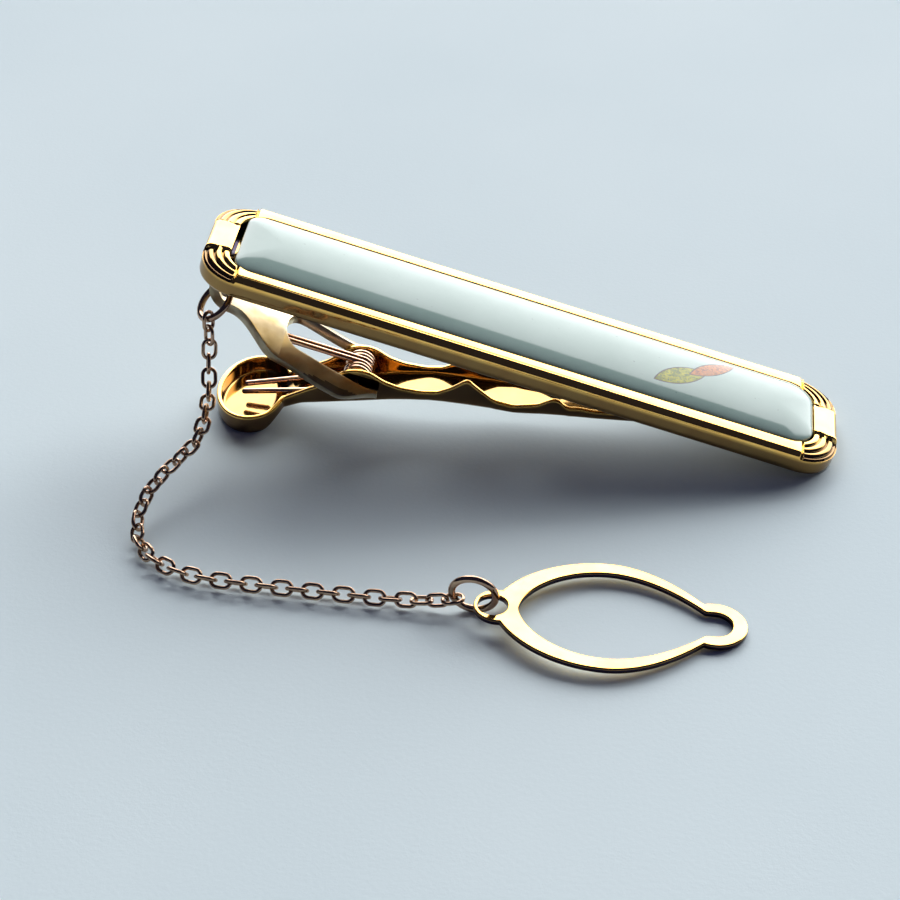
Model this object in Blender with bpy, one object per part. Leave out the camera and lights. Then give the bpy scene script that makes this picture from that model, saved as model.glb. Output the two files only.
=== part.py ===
"""Tie clip with an enamelled bar, a sprung jaw and a chain that ends in a button loop.

Run with: blender --background --python part.py
Every length is in metres. X runs along the clip, Y away from its front edge and Z up.
The bar leans: its right end and the jaw's thumb pad stand on the surface z = 0.
"""

import math

import bpy
import numpy as np
from mathutils import Matrix, Vector

MM = 0.001

# ---- bar: a shallow cast frame with an enamel inlay, leaning on its right end
BAR_LENGTH = 56.0 * MM
BAR_WIDTH = 11.8 * MM
BAR_HEIGHT = 1.9 * MM
BAR_LEAN = math.radians(16.2)
BAR_CORNER = 3.4 * MM
EDGE_ROUND = 0.45 * MM
SIDE_RIM = 1.6 * MM
END_RIM = 2.2 * MM
INLAY_CORNER = 2.4 * MM
POCKET_DEPTH = 1.0 * MM
INLAY_CLEARANCE = 0.1 * MM
INLAY_BELOW_RIM = 0.12 * MM
SEAT_GAP = 0.3 * MM

# ---- bracket: one bent strip on the back of the bar, whose two legs carry the hinge pin
STRIP = 0.85 * MM
BEND_RADIUS = 1.8 * MM
BEND_INSET = 3.4 * MM
LEAF_LENGTH = 10.0 * MM
NOSE_HALF_WIDTH = 1.3 * MM
JAW_HALF_WIDTH = 2.12 * MM
JAW_SIDE_CLEARANCE = 0.28 * MM
SLOT_HALF_WIDTH = JAW_HALF_WIDTH + JAW_SIDE_CLEARANCE
LEG_STRIP = 1.6 * MM
LEG_TIP_OFFSET = 0.45 * MM
FLARE_START = 0.35 * MM
FLARE_LENGTH = 4.2 * MM
RAMP_SLOPE = math.radians(11.0)
SLOT_START = 5.0 * MM
LEG_REACH = 14.1 * MM
LEG_FALL = 1.45 * MM
LEG_LOWEST_SHARE = 0.85
LEG_TIP_SHARE = 0.38
LEG_TIP_NARROWING = (0.8, 0.9)
SLOT_NOSE_SHARE = 0.16
LEG_ROWS = (0.012, 0.04, 0.08, 0.12, 0.16, 0.24, 0.34, 0.44, 0.54, 0.64, 0.74, 0.84, 0.92, 0.97, 1.0)
ARCH = 0.085 / MM
ARCH_START = 9.0 * MM
RING_HOLE = 0.92 * MM
RING_HOLE_ANGLE = math.radians(218.0)

# ---- hinge pin and jaw, measured from the pin along the bar and below its back
PIVOT_ALONG = 15.5 * MM
PIVOT_DEPTH = 7.4 * MM
PIN_RADIUS = 0.28 * MM
PIN_CLEARANCE = 0.04 * MM
PIN_SEAT = 0.25 * MM
JAW_SHEET = 0.42 * MM
JAW_REACH = 30.5 * MM
PAD_HALF_LENGTH = 3.3 * MM
PAD_HALF_WIDTH = 4.9 * MM
PAD_OFFSET = 9.3 * MM
PAD_HEIGHT = 1.8 * MM
JAW_TIP_CORNER = 1.2 * MM
JAW_UPPER_EDGE = (
    (-4.2, -0.9), (-3.0, -0.35), (-1.8, 0.5), (-1.2, 1.05), (-0.4, 1.32), (0.6, 1.3), (1.4, 1.05),
    (2.5, 0.29), (3.8, -0.18), (5.6, -0.43), (7.1, -0.33), (8.3, 0.19), (9.7, 1.13), (10.5, 0.37),
    (12.0, -0.86), (13.6, -1.26), (15.7, -0.97), (16.9, -0.35), (17.5, -0.3), (18.3, -1.11),
    (19.2, -1.04), (20.6, -1.26), (26.5, -1.3),
)
JAW_UNDERSIDE = (
    (-4.9, -2.6), (-3.2, -2.4), (0.0, -2.0), (3.0, -1.6),
    (6.2, -1.36), (9.6, -1.61), (13.9, -2.05), (27.5, -2.1),
)

# ---- spring: two coils about the pin, joined by one long loop
SPRING_WIRE = 0.25 * MM
COIL_RADIUS = 1.08 * MM
COIL_TURNS = 2
COIL_PITCH = 0.46 * MM
COIL_START = 0.27 * MM
UPPER_LEG = 7.6 * MM
UPPER_SLOPE = math.radians(16.0)
LOWER_LEG = 10.4 * MM
LOWER_SLOPE = math.radians(8.5)
LOWER_END_SPREAD = 0.6 * MM

# ---- jump rings and chain
RING_RADIUS = 1.74 * MM
RING_WIRE = 0.29 * MM
RING_LEAN = math.radians(40.5)
RING_TURN = math.radians(206.6)
RING_SHIFT = (0.107 * MM, 0.295 * MM)
RING_PLAY = 0.2 * MM
RING_HANG_ANGLE = math.radians(150.1)
RING_HOOK_ANGLE = math.radians(132.0)
LINK_WIRE = 0.16 * MM
LINK_INNER_WIDTH = 0.76 * MM
LINK_PITCH = 1.27 * MM
LINK_PLAY = 0.08 * MM
LINK_TWISTS = ((0.0, -52.0), (5.0 * MM, 0.0), (14.0 * MM, 0.0), (24.0 * MM, 45.0), (44.0 * MM, 45.0), (50.0 * MM, 90.0))
CHAIN_BEND = (
    (0.58, -3.70, 8.00),
    (0.53, -4.30, 6.60),
    (0.73, -5.40, 5.20),
    (0.93, -8.00, 4.40),
    (0.68, -10.80, 3.45),
    (-0.52, -13.10, 2.90),
    (-1.82, -15.70, 2.35),
    (-2.47, -18.20, 1.70),
    (-2.32, -20.60, 0.95),
    (-1.12, -22.80, 0.76),
    (0.88, -24.40, 0.75),
    (3.58, -25.40, 0.75),
    (7.78, -25.85, 0.75),
    (12.78, -26.10, 0.75),
    (17.78, -26.30, 0.75),
    (21.20, -26.35, 0.85),
    (22.80, -26.35, 1.00),
    (24.15, -26.30, 1.22),
)

# ---- end ring and button loop, which lie on the surface
END_RING_LIFT = math.radians(99.5)
END_RING_TURN = math.radians(-4.2)
END_RING_HOOK = math.radians(25.0)
END_RING_SLACK = 0.25 * MM
LOOP_THICKNESS = 0.5 * MM
LOOP_STRIP = 1.3 * MM
EYE_HALF_WIDTH = 5.05 * MM
EYE_LEFT = 6.9 * MM
EYE_RIGHT = 7.6 * MM
LOOP_TURN = math.radians(2.0)
LUG_RADIUS = 1.9 * MM
LUG_SHIFT = 0.4 * MM
LUG_HOLE = 1.17 * MM
LUG_WEB = 0.85 * MM
KNOB_RADIUS = 2.55 * MM
KNOB_HOLE = 1.38 * MM
KNOB_SHIFT = 0.75 * MM
LUG_LIFT = 0.89 * MM
LUG_SLACK = 0.38 * MM
NECK_HALF_WIDTH = 1.95 * MM
NECK_OVERLAP = 0.35 * MM
EYE_BLUNTNESS = 0.62
EYE_TAPER = 1.9

# from the bar's own axes, which start at its left end's underside, to the clip's
BAR_BACK = Matrix.Rotation(BAR_LEAN, 4, "Y") @ Matrix.Translation((-BAR_LENGTH, 0.0, 0.0))

ARC_STEPS = 8
COIL_STEPS = 12
RING_STEPS = 24
ROUND_SIDES = 16


def material(name, colour, roughness, metallic):
    made = bpy.data.materials.new(name)
    made.use_nodes = True
    shader = made.node_tree.nodes["Principled BSDF"]
    shader.inputs["Base Color"].default_value = (*colour, 1.0)
    shader.inputs["Roughness"].default_value = roughness
    shader.inputs["Metallic"].default_value = metallic
    return made


def add_object(name, data, finish, parent=None):
    """Links a new object, with its own copy of the finish, and returns it."""
    made = bpy.data.objects.new(name, data)
    bpy.context.scene.collection.objects.link(made)
    if not data.materials:
        data.materials.append(finish)
    made.parent = parent
    return made


def empty(name, matrix, parent=None):
    made = bpy.data.objects.new(name, None)
    bpy.context.scene.collection.objects.link(made)
    made.parent = parent
    made.matrix_local = matrix
    return made


def loft(name, outlines):
    """A closed mesh through stacked outlines of equal length, with a face at each end."""
    count = len(outlines[0])
    points = np.concatenate(outlines)
    ring = np.arange(count)
    faces = [tuple(ring[::-1]), tuple(ring + count * (len(outlines) - 1))]
    for level in range(len(outlines) - 1):
        low, high = ring + count * level, ring + count * (level + 1)
        faces += list(zip(low, np.roll(low, -1), np.roll(high, -1), high))
    mesh = bpy.data.meshes.new(name)
    mesh.from_pydata(points.tolist(), [], [tuple(map(int, face)) for face in faces])
    return mesh


def flat_prism(name, outline, low, high):
    """A counter-clockwise plan outline, extruded from one height to another."""
    at = [np.column_stack([outline, np.full(len(outline), z)]) for z in (low, high)]
    return loft(name, at)


def side_prism(name, profile, half_width):
    """A counter-clockwise outline seen from the front, extruded across the clip."""
    across = (half_width, -half_width)
    at = [np.column_stack([profile[:, 0], np.full(len(profile), y), profile[:, 1]]) for y in across]
    return loft(name, at)


def cross_pin(name, x, z, radius, start, end):
    """A round bar along Y."""
    turn = np.linspace(0.0, math.tau, ROUND_SIDES, endpoint=False)
    circle = np.column_stack([x + radius * np.cos(turn), z + radius * np.sin(turn)])
    at = [np.column_stack([circle[:, 0], np.full(len(circle), y), circle[:, 1]]) for y in (end, start)]
    return loft(name, at)


def rounded_rectangle(length, width, corner):
    """Counter-clockwise, centred on the origin."""
    turn = np.linspace(0.0, math.pi / 2, ARC_STEPS)
    arc = corner * np.column_stack([np.cos(turn), np.sin(turn)])
    stretch = np.array([length / 2 - corner, width / 2 - corner])
    quarters = []
    for quarter in range(4):
        angle = quarter * math.pi / 2
        spin = np.array([[math.cos(angle), -math.sin(angle)], [math.sin(angle), math.cos(angle)]])
        signs = np.array([(1, 1), (-1, 1), (-1, -1), (1, -1)][quarter])
        quarters.append(arc @ spin.T + signs * stretch)
    return np.concatenate(quarters)


def wire(name, points, radius, closed):
    """A six-sided wire along the points."""
    curve = bpy.data.curves.new(name, "CURVE")
    curve.dimensions = "3D"
    curve.bevel_depth = radius
    curve.bevel_resolution = 1
    curve.use_fill_caps = not closed
    curve.twist_mode = "MINIMUM"
    spline = curve.splines.new("POLY")
    spline.points.add(len(points) - 1)
    for point, place in zip(spline.points, points):
        point.co = (*place, 1.0)
    spline.use_cyclic_u = closed
    return curve


def cutter(name, mesh, parent):
    """A hidden object that only shapes another."""
    made = bpy.data.objects.new(name, mesh)
    bpy.context.scene.collection.objects.link(made)
    made.parent = parent
    made.hide_render = True
    made.display_type = "WIRE"
    return made


def cut(target, tool, operation="DIFFERENCE"):
    modifier = target.modifiers.new(tool.name, "BOOLEAN")
    modifier.operation = operation
    modifier.object = tool


def clear_scene():
    for old in list(bpy.data.objects):
        bpy.data.objects.remove(old)


# ---------------------------------------------------------------- bar


def bar_pieces(bar, finishes):
    """The frame and the enamel in its pocket, in the bar's own axes: length, width, height."""
    middle = np.array([BAR_LENGTH / 2, 0.0])
    rise = np.linspace(0.0, math.pi / 2, 5)
    insets = np.concatenate([[0.0], EDGE_ROUND * (1 - np.cos(rise))])
    heights = np.concatenate([[0.0], BAR_HEIGHT - EDGE_ROUND * (1 - np.sin(rise))])
    rings = []
    for inset, height in zip(insets, heights):
        plan = rounded_rectangle(BAR_LENGTH - 2 * inset, BAR_WIDTH - 2 * inset, BAR_CORNER - inset)
        rings.append(np.column_stack([plan + middle, np.full(len(plan), height)]))
    frame = add_object("bar_frame", loft("bar_frame", rings), finishes["gold"], bar)

    pocket_size = np.array([BAR_LENGTH - 2 * END_RIM, BAR_WIDTH - 2 * SIDE_RIM])
    plan = rounded_rectangle(*pocket_size, INLAY_CORNER) + middle
    floor = BAR_HEIGHT - POCKET_DEPTH
    pocket = flat_prism("pocket_cutter", plan, floor, BAR_HEIGHT + POCKET_DEPTH)
    cut(frame, cutter("pocket_cutter", pocket, bar))

    size = pocket_size - 2 * INLAY_CLEARANCE
    plan = rounded_rectangle(*size, INLAY_CORNER - INLAY_CLEARANCE) + middle
    top = BAR_HEIGHT - INLAY_BELOW_RIM
    inlay = flat_prism("enamel_inlay", plan, floor + INLAY_CLEARANCE, top)
    add_object("enamel_inlay", inlay, finishes["enamel"], bar)


# ---------------------------------------------------------------- bracket


def smooth(share):
    share = np.clip(share, 0.0, 1.0)
    return share * share * (3 - 2 * share)


def bend_centre():
    return BEND_INSET, -(SEAT_GAP + STRIP / 2 + BEND_RADIUS)


def leg_share(along):
    """How far a point of the lower run is along the legs, 0 at the slot and 1 at their tips."""
    return np.clip((along - SLOT_START) / (LEG_REACH - SLOT_START), 0.0, 1.0)


def lower_run(along):
    """Height of the strip's middle on its centre line, below the bend."""
    start = bend_centre()[1] - BEND_RADIUS
    ramp = start - math.tan(RAMP_SLOPE) * np.minimum(along, SLOT_START)
    return ramp - LEG_FALL * np.sin(math.pi / 2 * leg_share(along) / LEG_LOWEST_SHARE) ** 2


def leg_edges(along):
    """Inner and outer half-width of the strip, at a distance along its lower run."""
    flare = smooth((along - FLARE_START) / FLARE_LENGTH)
    outer = NOSE_HALF_WIDTH + (SLOT_HALF_WIDTH + LEG_STRIP - NOSE_HALF_WIDTH) * flare
    nose = np.clip(leg_share(along) / SLOT_NOSE_SHARE, 0.0, 1.0)
    inner = SLOT_HALF_WIDTH * np.sqrt(1 - (1 - nose) ** 2)
    tip = smooth((leg_share(along) - 1) / LEG_TIP_SHARE + 1)
    inner_narrowing, outer_narrowing = LEG_TIP_NARROWING
    tip_middle = SLOT_HALF_WIDTH + LEG_TIP_OFFSET
    inner = inner + (tip_middle - inner) * tip * inner_narrowing
    return inner, outer + (tip_middle - outer) * tip * outer_narrowing


def strip_rows():
    """Rows across the strip: x and z of its middle, its normal, inner and outer half-width, arch."""
    rows = []
    centre_x, centre_z = bend_centre()
    for x in np.linspace(BEND_INSET + LEAF_LENGTH, BEND_INSET, 3)[:-1]:
        rows.append((x, -(SEAT_GAP + STRIP / 2), 0.0, -1.0, 0.0, NOSE_HALF_WIDTH, 0.0))
    for angle in np.linspace(math.pi / 2, 1.5 * math.pi, 13):
        x = centre_x + BEND_RADIUS * math.cos(angle)
        z = centre_z + BEND_RADIUS * math.sin(angle)
        rows.append((x, z, -math.cos(angle), -math.sin(angle), 0.0, NOSE_HALF_WIDTH, 0.0))
    legs = SLOT_START + (LEG_REACH - SLOT_START) * np.array(LEG_ROWS)
    for along in np.concatenate([np.linspace(0.0, SLOT_START, 8)[1:], legs]):
        step = 0.05 * MM
        slope = (lower_run(along + step) - lower_run(along - step)) / (2 * step)
        length = math.hypot(1.0, slope)
        inner, outer = leg_edges(along)
        arch = ARCH * float(smooth(along / ARCH_START))
        rows.append((BEND_INSET + along, float(lower_run(along)), -slope / length, 1 / length,
                     float(inner), float(outer), arch))
    return rows


def bracket_mesh():
    """The strip as two skins, half its thickness either side of the middle, closed along the rim."""
    shares = np.linspace(0.0, 1.0, 5)
    rows = strip_rows()
    split_row = next(i for i, row in enumerate(rows) if row[4] > 0)
    skins = {}
    points = []

    def vertex(row, side, index, skin):
        x, z, normal_x, normal_z, inner, outer, arch = rows[row]
        shared = index == 0 and row < split_row
        key = (row, 0 if shared else side, index, skin)
        if key not in skins:
            y = side * (inner + (outer - inner) * shares[index])
            offset = skin * STRIP / 2
            skins[key] = len(points)
            points.append((x + offset * normal_x, y, z - arch * y * y + offset * normal_z))
        return skins[key]

    faces = []
    for skin in (-1, 1):
        for row in range(len(rows) - 1):
            for side in (-1, 1):
                for index in range(len(shares) - 1):
                    quad = [vertex(row, side, index, skin), vertex(row, side, index + 1, skin),
                            vertex(row + 1, side, index + 1, skin), vertex(row + 1, side, index, skin)]
                    faces.append(quad if side == skin else quad[::-1])
    edges = {}
    for face in faces:
        for a, b in zip(face, face[1:] + face[:1]):
            edges[(a, b)] = edges.get((a, b), 0) + 1
    partner = {skins[key]: skins[(*key[:3], -key[3])] for key in skins}
    top = {skins[key] for key in skins if key[3] == 1}
    for a, b in edges:
        if (b, a) not in edges and a in top and b in top:
            faces.append([b, a, partner[a], partner[b]])
    mesh = bpy.data.meshes.new("bracket")
    mesh.from_pydata(points, [], faces)
    return mesh


def ring_hole_point():
    centre_x, centre_z = bend_centre()
    return Vector((centre_x + BEND_RADIUS * math.cos(RING_HOLE_ANGLE), 0.0,
                   centre_z + BEND_RADIUS * math.sin(RING_HOLE_ANGLE)))


def bracket(bar, finishes):
    made = add_object("spring_bracket", bracket_mesh(), finishes["gold"], bar)
    hole = Matrix.Translation(ring_hole_point())
    hole = hole @ Matrix.Rotation(math.pi / 2 - RING_HOLE_ANGLE, 4, "Y")
    turn = np.linspace(0.0, math.tau, ROUND_SIDES, endpoint=False)
    circle = RING_HOLE * np.column_stack([np.cos(turn), np.sin(turn)])
    punch = cutter("ring_hole_cutter", flat_prism("ring_hole_cutter", circle, -STRIP, STRIP), bar)
    punch.matrix_local = hole
    cut(made, punch)
    reach = pin_half_length() + PIN_CLEARANCE
    drill = cross_pin("pin_seat_cutter", PIVOT_ALONG, -PIVOT_DEPTH, PIN_RADIUS + PIN_CLEARANCE, -reach, reach)
    cut(made, cutter("pin_seat_cutter", drill, bar))


# ---------------------------------------------------------------- hinge pin, jaw and spring


def pin_half_length():
    inner = leg_edges(PIVOT_ALONG - BEND_INSET)[0]
    return float(inner) + PIN_SEAT


def hinge_pin(bar, finishes):
    half = pin_half_length()
    mesh = cross_pin("hinge_pin", PIVOT_ALONG, -PIVOT_DEPTH, PIN_RADIUS, -half, half)
    add_object("hinge_pin", mesh, finishes["steel"], bar)


def pivot_place():
    return BAR_BACK @ Vector((PIVOT_ALONG, 0.0, -PIVOT_DEPTH))


def jaw_lines():
    """(top, bottom) of the jaw seen from the front, as points from its pad to its tip."""
    pivot = pivot_place()
    ground = -pivot.z
    pad = -(PAD_OFFSET + PAD_HALF_LENGTH)
    back = math.tan(BAR_LEAN) * -(pivot.x + JAW_REACH) - pivot.z
    tip = back - SEAT_GAP / math.cos(BAR_LEAN)
    neck = -PAD_OFFSET + PAD_HALF_LENGTH
    rim = ground + PAD_HEIGHT
    top = [(pad, rim), (neck - 1.2 * MM, rim), (neck - 0.5 * MM, -2.05 * MM)]
    top += [(x * MM, z * MM) for x, z in JAW_UPPER_EDGE]
    top += [(JAW_REACH - 0.6 * MM, tip), (JAW_REACH, tip - 0.2 * MM)]
    bottom = [(pad, ground), (neck - 1.6 * MM, ground), (neck - 0.4 * MM, ground + 1.0 * MM)]
    bottom += [(x * MM, z * MM) for x, z in JAW_UNDERSIDE] + [(JAW_REACH, tip - 0.75 * MM)]
    return np.array(top), np.array(bottom)


def jaw_plan(inset):
    """The jaw from above: an oval pad on a narrow strip with a rounded tip."""
    radii = np.array([PAD_HALF_LENGTH - inset, PAD_HALF_WIDTH - inset])
    half = JAW_HALF_WIDTH - inset
    end = JAW_REACH - inset
    join = math.asin(half / radii[1])
    pad_turn = np.linspace(join, math.tau - join, 25)
    pad = radii * np.column_stack([np.cos(pad_turn), np.sin(pad_turn)]) - [PAD_OFFSET, 0.0]
    corner = JAW_TIP_CORNER - inset
    tip_turn = np.linspace(-math.pi / 2, 0.0, 5)
    low = corner * np.column_stack([np.cos(tip_turn), np.sin(tip_turn)]) + [end - corner, corner - half]
    high = low[::-1] * [1.0, -1.0]
    return np.concatenate([pad, low, high])


def jaw(clip, finishes):
    """A folded trough: a plan outline cut to its side outline, hollowed and drilled for the pin."""
    hinge = empty("jaw_hinge", Matrix.Translation(pivot_place()), clip)
    top, bottom = jaw_lines()
    tall = 2 * PIVOT_DEPTH
    wide = 2 * PAD_HALF_WIDTH
    past = [PAD_HALF_WIDTH, 0.0]
    made = add_object("jaw", flat_prism("jaw", jaw_plan(0.0), -tall, tall), finishes["gold"], hinge)

    outline = np.concatenate([bottom[:1] - past, bottom, bottom[-1:] + past,
                              top[-1:] + past, top[::-1], top[:1] - past])
    cut(made, cutter("jaw_side_cutter", side_prism("jaw_side_cutter", outline, wide), hinge), "INTERSECT")

    floor = bottom + [0.0, JAW_SHEET]
    lid = [floor[-1] + [PAD_HALF_WIDTH, tall], floor[0] + [-PAD_HALF_WIDTH, tall]]
    outline = np.concatenate([floor[:1] - past, floor, floor[-1:] + past, lid])
    trough = flat_prism("jaw_trough_cutter", jaw_plan(JAW_SHEET), -tall, tall)
    trough = cutter("jaw_trough_cutter", trough, hinge)
    above = side_prism("jaw_floor_cutter", outline, 1.1 * wide)
    cut(trough, cutter("jaw_floor_cutter", above, hinge), "INTERSECT")
    cut(made, trough)

    bore = cross_pin("jaw_bore_cutter", 0.0, 0.0, PIN_RADIUS + PIN_CLEARANCE, -wide, wide)
    cut(made, cutter("jaw_bore_cutter", bore, hinge))
    return hinge


def spring_half():
    """One side of the spring from the end of its lower leg, round the coil, to the loop's middle."""
    start = math.pi / 2 - UPPER_SLOPE
    end = -math.pi / 2 + LOWER_SLOPE - math.tau * COIL_TURNS
    turns = np.linspace(end, start, COIL_STEPS * COIL_TURNS + COIL_STEPS // 2)
    spread = COIL_START + COIL_PITCH * (start - turns) / math.tau
    coil = np.column_stack([COIL_RADIUS * np.cos(turns), spread, COIL_RADIUS * np.sin(turns)])
    lower = coil[0] + LOWER_LEG * np.array([-math.cos(LOWER_SLOPE), 0.0, -math.sin(LOWER_SLOPE)])
    lower[1] = LOWER_END_SPREAD
    leg = np.linspace(lower, coil[0], 6)[:-1]
    away = np.array([-math.cos(UPPER_SLOPE), 0.0, math.sin(UPPER_SLOPE)])
    upper = np.linspace(coil[-1], coil[-1] + UPPER_LEG * away, 6)[1:]
    nose = upper[-1] + [0.5 * COIL_START * away[0], -0.5 * COIL_START, 0.5 * COIL_START * away[2]]
    return np.concatenate([leg, coil, upper, [nose]])


def spring(hinge, finishes):
    """Two mirrored halves of one wire, about the hinge."""
    half = spring_half()
    points = np.concatenate([half, half[::-1] * [1.0, -1.0, 1.0]])
    add_object("torsion_spring", wire("torsion_spring", points, SPRING_WIRE, False), finishes["steel"], hinge)


# ---------------------------------------------------------------- rings and chain


def circle_points(radius):
    turn = np.linspace(0.0, math.tau, RING_STEPS, endpoint=False)
    return radius * np.column_stack([np.cos(turn), np.sin(turn), np.zeros(RING_STEPS)])


def frame_of(origin, forward, normal):
    """An object's matrix whose X is forward and whose Z is the normal, made square to it."""
    x = Vector(forward).normalized()
    z = Vector(normal)
    z = (z - z.dot(x) * x).normalized()
    matrix = Matrix((x, z.cross(x), z)).transposed().to_4x4()
    matrix.translation = origin
    return matrix


def bar_ring(clip, finishes):
    """The ring through the bracket's hole, as the chain pulls it. Its origin is where its wire passes the hole."""
    tilt = Matrix.Rotation(RING_TURN, 3, "Z") @ Matrix.Rotation(RING_LEAN, 3, "Y")
    normal = tilt @ Vector((0.0, 0.0, 1.0))
    level = normal.cross(Vector((0.0, 0.0, 1.0))).normalized()
    fall = normal.cross(level)
    across, along = RING_SHIFT
    strip = Vector((math.sin(RING_HOLE_ANGLE), 0.0, -math.cos(RING_HOLE_ANGLE)))
    place = BAR_BACK @ (ring_hole_point() + along * strip + across * Vector((0.0, 1.0, 0.0)))
    inward = math.cos(RING_HANG_ANGLE) * level + math.sin(RING_HANG_ANGLE) * fall
    points = circle_points(RING_RADIUS) - [RING_RADIUS, 0.0, 0.0]
    made = add_object("bar_ring", wire("bar_ring", points, RING_WIRE, True), finishes["steel"], clip)
    made.matrix_local = frame_of(place, -inward, normal)
    to_hook = math.cos(RING_HOOK_ANGLE) * level + math.sin(RING_HOOK_ANGLE) * fall
    return place + RING_RADIUS * (inward + to_hook)


def link_mesh(pitch):
    """A stadium of wire whose origin is where the link before it bears."""
    inner = pitch + LINK_PLAY
    bend = LINK_INNER_WIDTH / 2 + LINK_WIRE
    straight = inner / 2 + LINK_WIRE - bend
    turn = np.linspace(-math.pi / 2, math.pi / 2, 5)
    right = bend * np.column_stack([np.cos(turn), np.sin(turn), np.zeros(5)]) + [straight, 0.0, 0.0]
    points = np.concatenate([right, -right])
    reach = pitch - inner / 2 - LINK_WIRE
    return wire("chain_link", points + [reach, 0.0, 0.0], LINK_WIRE, True), reach


def smooth_route(points, steps=24):
    """A Catmull-Rom curve through the points."""
    padded = np.concatenate([2 * points[:1] - points[1:2], points, 2 * points[-1:] - points[-2:-1]])
    share = np.linspace(0.0, 1.0, steps, endpoint=False)[:, None]
    pieces = []
    for a, b, c, d in zip(padded, padded[1:], padded[2:], padded[3:]):
        pieces.append(0.5 * (2 * b + (c - a) * share + (2 * a - 5 * b + 4 * c - d) * share**2
                             + (3 * b - a - 3 * c + d) * share**3))
    return np.concatenate([*pieces, points[-1:]])


def chain(clip, finishes, hook):
    """An even number of links, so that the last one is turned to take the end ring. It lies from the bar's raised end."""
    bends = np.array(CHAIN_BEND) * MM + [(BAR_BACK @ Vector((0.0, 0.0, 0.0))).x, 0.0, 0.0]
    away = (bends[0] - hook) / np.linalg.norm(bends[0] - hook)
    start = hook + (LINK_PITCH / 2 + LINK_PLAY / 2 - RING_WIRE - RING_PLAY) * away
    route = smooth_route(np.concatenate([[start], bends]))
    run = np.concatenate([[0.0], np.cumsum(np.linalg.norm(np.diff(route, axis=0), axis=1))])
    count = 2 * round((run[-1] / LINK_PITCH + 1) / 2)
    places = np.linspace(0.0, run[-1], count)
    middles = np.column_stack([np.interp(places, run, route[:, axis]) for axis in range(3)])
    pitch = float(places[1])
    mesh, reach = link_mesh(pitch)
    twist_at, twists = np.array(LINK_TWISTS).T
    for index, (place, middle) in enumerate(zip(places, middles)):
        before, after = middles[max(index - 1, 0)], middles[min(index + 1, count - 1)]
        along = Vector(after - before).normalized()
        side = along.cross(Vector((0.0, 0.0, 1.0))).normalized()
        up = side.cross(along)
        twist = math.radians(np.interp(place, twist_at, twists)) + math.pi / 2 * (index % 2)
        normal = math.cos(twist) * up + math.sin(twist) * side
        link = add_object(f"chain_link_{index + 1:02d}", mesh, finishes["steel"], clip)
        link.matrix_local = frame_of(Vector(middle) - reach * along, along, normal)
    end_bend = pitch / 2 + LINK_PLAY / 2 + LINK_WIRE
    return Vector(middles[-1]) + end_bend * along


def end_ring(clip, finishes, hook):
    """The upright ring that joins the last link to the button loop. Its origin is in the last link.
    It returns where the ring passes down through the loop's lug."""
    across = Vector((math.cos(END_RING_TURN), math.sin(END_RING_TURN), 0.0))
    level = Vector((-math.sin(END_RING_TURN), math.cos(END_RING_TURN), 0.0))
    rise = math.cos(END_RING_LIFT) * level + Vector((0.0, 0.0, math.sin(END_RING_LIFT)))
    outward = -math.cos(END_RING_HOOK) * across - math.sin(END_RING_HOOK) * rise
    points = circle_points(RING_RADIUS) - [RING_RADIUS, 0.0, 0.0]
    made = add_object("end_ring", wire("end_ring", points, RING_WIRE, True), finishes["steel"], clip)
    place = hook - (LINK_WIRE + RING_WIRE + LINK_PLAY / 2 + END_RING_SLACK) * across
    centre = place - RING_RADIUS * outward
    centre.z = RING_RADIUS * math.sin(END_RING_LIFT) + RING_WIRE
    made.matrix_local = frame_of(centre + RING_RADIUS * outward, outward, across.cross(rise))
    drop = math.asin((LUG_LIFT + LOOP_THICKNESS / 2 - centre.z) / (RING_RADIUS * rise.z))
    return centre + RING_RADIUS * (math.cos(drop) * across + math.sin(drop) * rise)


# ---------------------------------------------------------------- button loop


def loop_outlines():
    """(outer, eye) outlines in the loop's own plane, with the lug's hole at the origin."""
    eye_middle = LUG_HOLE + LUG_WEB + EYE_LEFT
    neck = eye_middle + EYE_RIGHT
    knob = neck + KNOB_SHIFT

    def arch(x, half, reach, power, floor):
        share = np.abs(x - eye_middle) / reach
        return np.where(share < 1, half - (half - floor) * np.clip(share, 0.0, 1.0) ** power, 0.0)

    def disc(x, middle, radius):
        return np.sqrt(np.clip(radius**2 - (x - middle) ** 2, 0.0, None))

    def blunt(x, half, reach):
        share = np.clip((eye_middle - x) / reach, 0.0, 1.0)
        return half * (1 - share**2) ** EYE_BLUNTNESS

    def eye_half(x):
        right = arch(x, EYE_HALF_WIDTH, EYE_RIGHT, EYE_TAPER, KNOB_HOLE)
        body = np.where(x < eye_middle, blunt(x, EYE_HALF_WIDTH, EYE_LEFT), right)
        slot = np.where((x >= neck) & (x <= knob), KNOB_HOLE, 0.0)
        return np.max([body, slot, np.where(x > knob, disc(x, knob, KNOB_HOLE), 0.0)], axis=0)

    def outer_half(x):
        wide = EYE_HALF_WIDTH + LOOP_STRIP
        right = arch(x, wide, EYE_RIGHT + NECK_OVERLAP, EYE_TAPER, NECK_HALF_WIDTH)
        body = np.where(x < eye_middle, blunt(x, wide, eye_middle), right)
        return np.max([body, disc(x, LUG_SHIFT, LUG_RADIUS), disc(x, knob, KNOB_RADIUS)], axis=0)

    def closed(half, left, right, count):
        share = (1 - np.cos(np.linspace(0.0, math.pi, count))) / 2
        x = left + (right - left) * share
        lower = np.column_stack([x, -half(x)])
        upper = np.column_stack([x, half(x)])[::-1]
        return np.concatenate([lower, upper[1:-1]])

    outer = closed(outer_half, LUG_SHIFT - LUG_RADIUS, knob + KNOB_RADIUS, 61)
    eye = closed(eye_half, eye_middle - EYE_LEFT, knob + KNOB_HOLE, 41)
    return outer, eye


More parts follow.
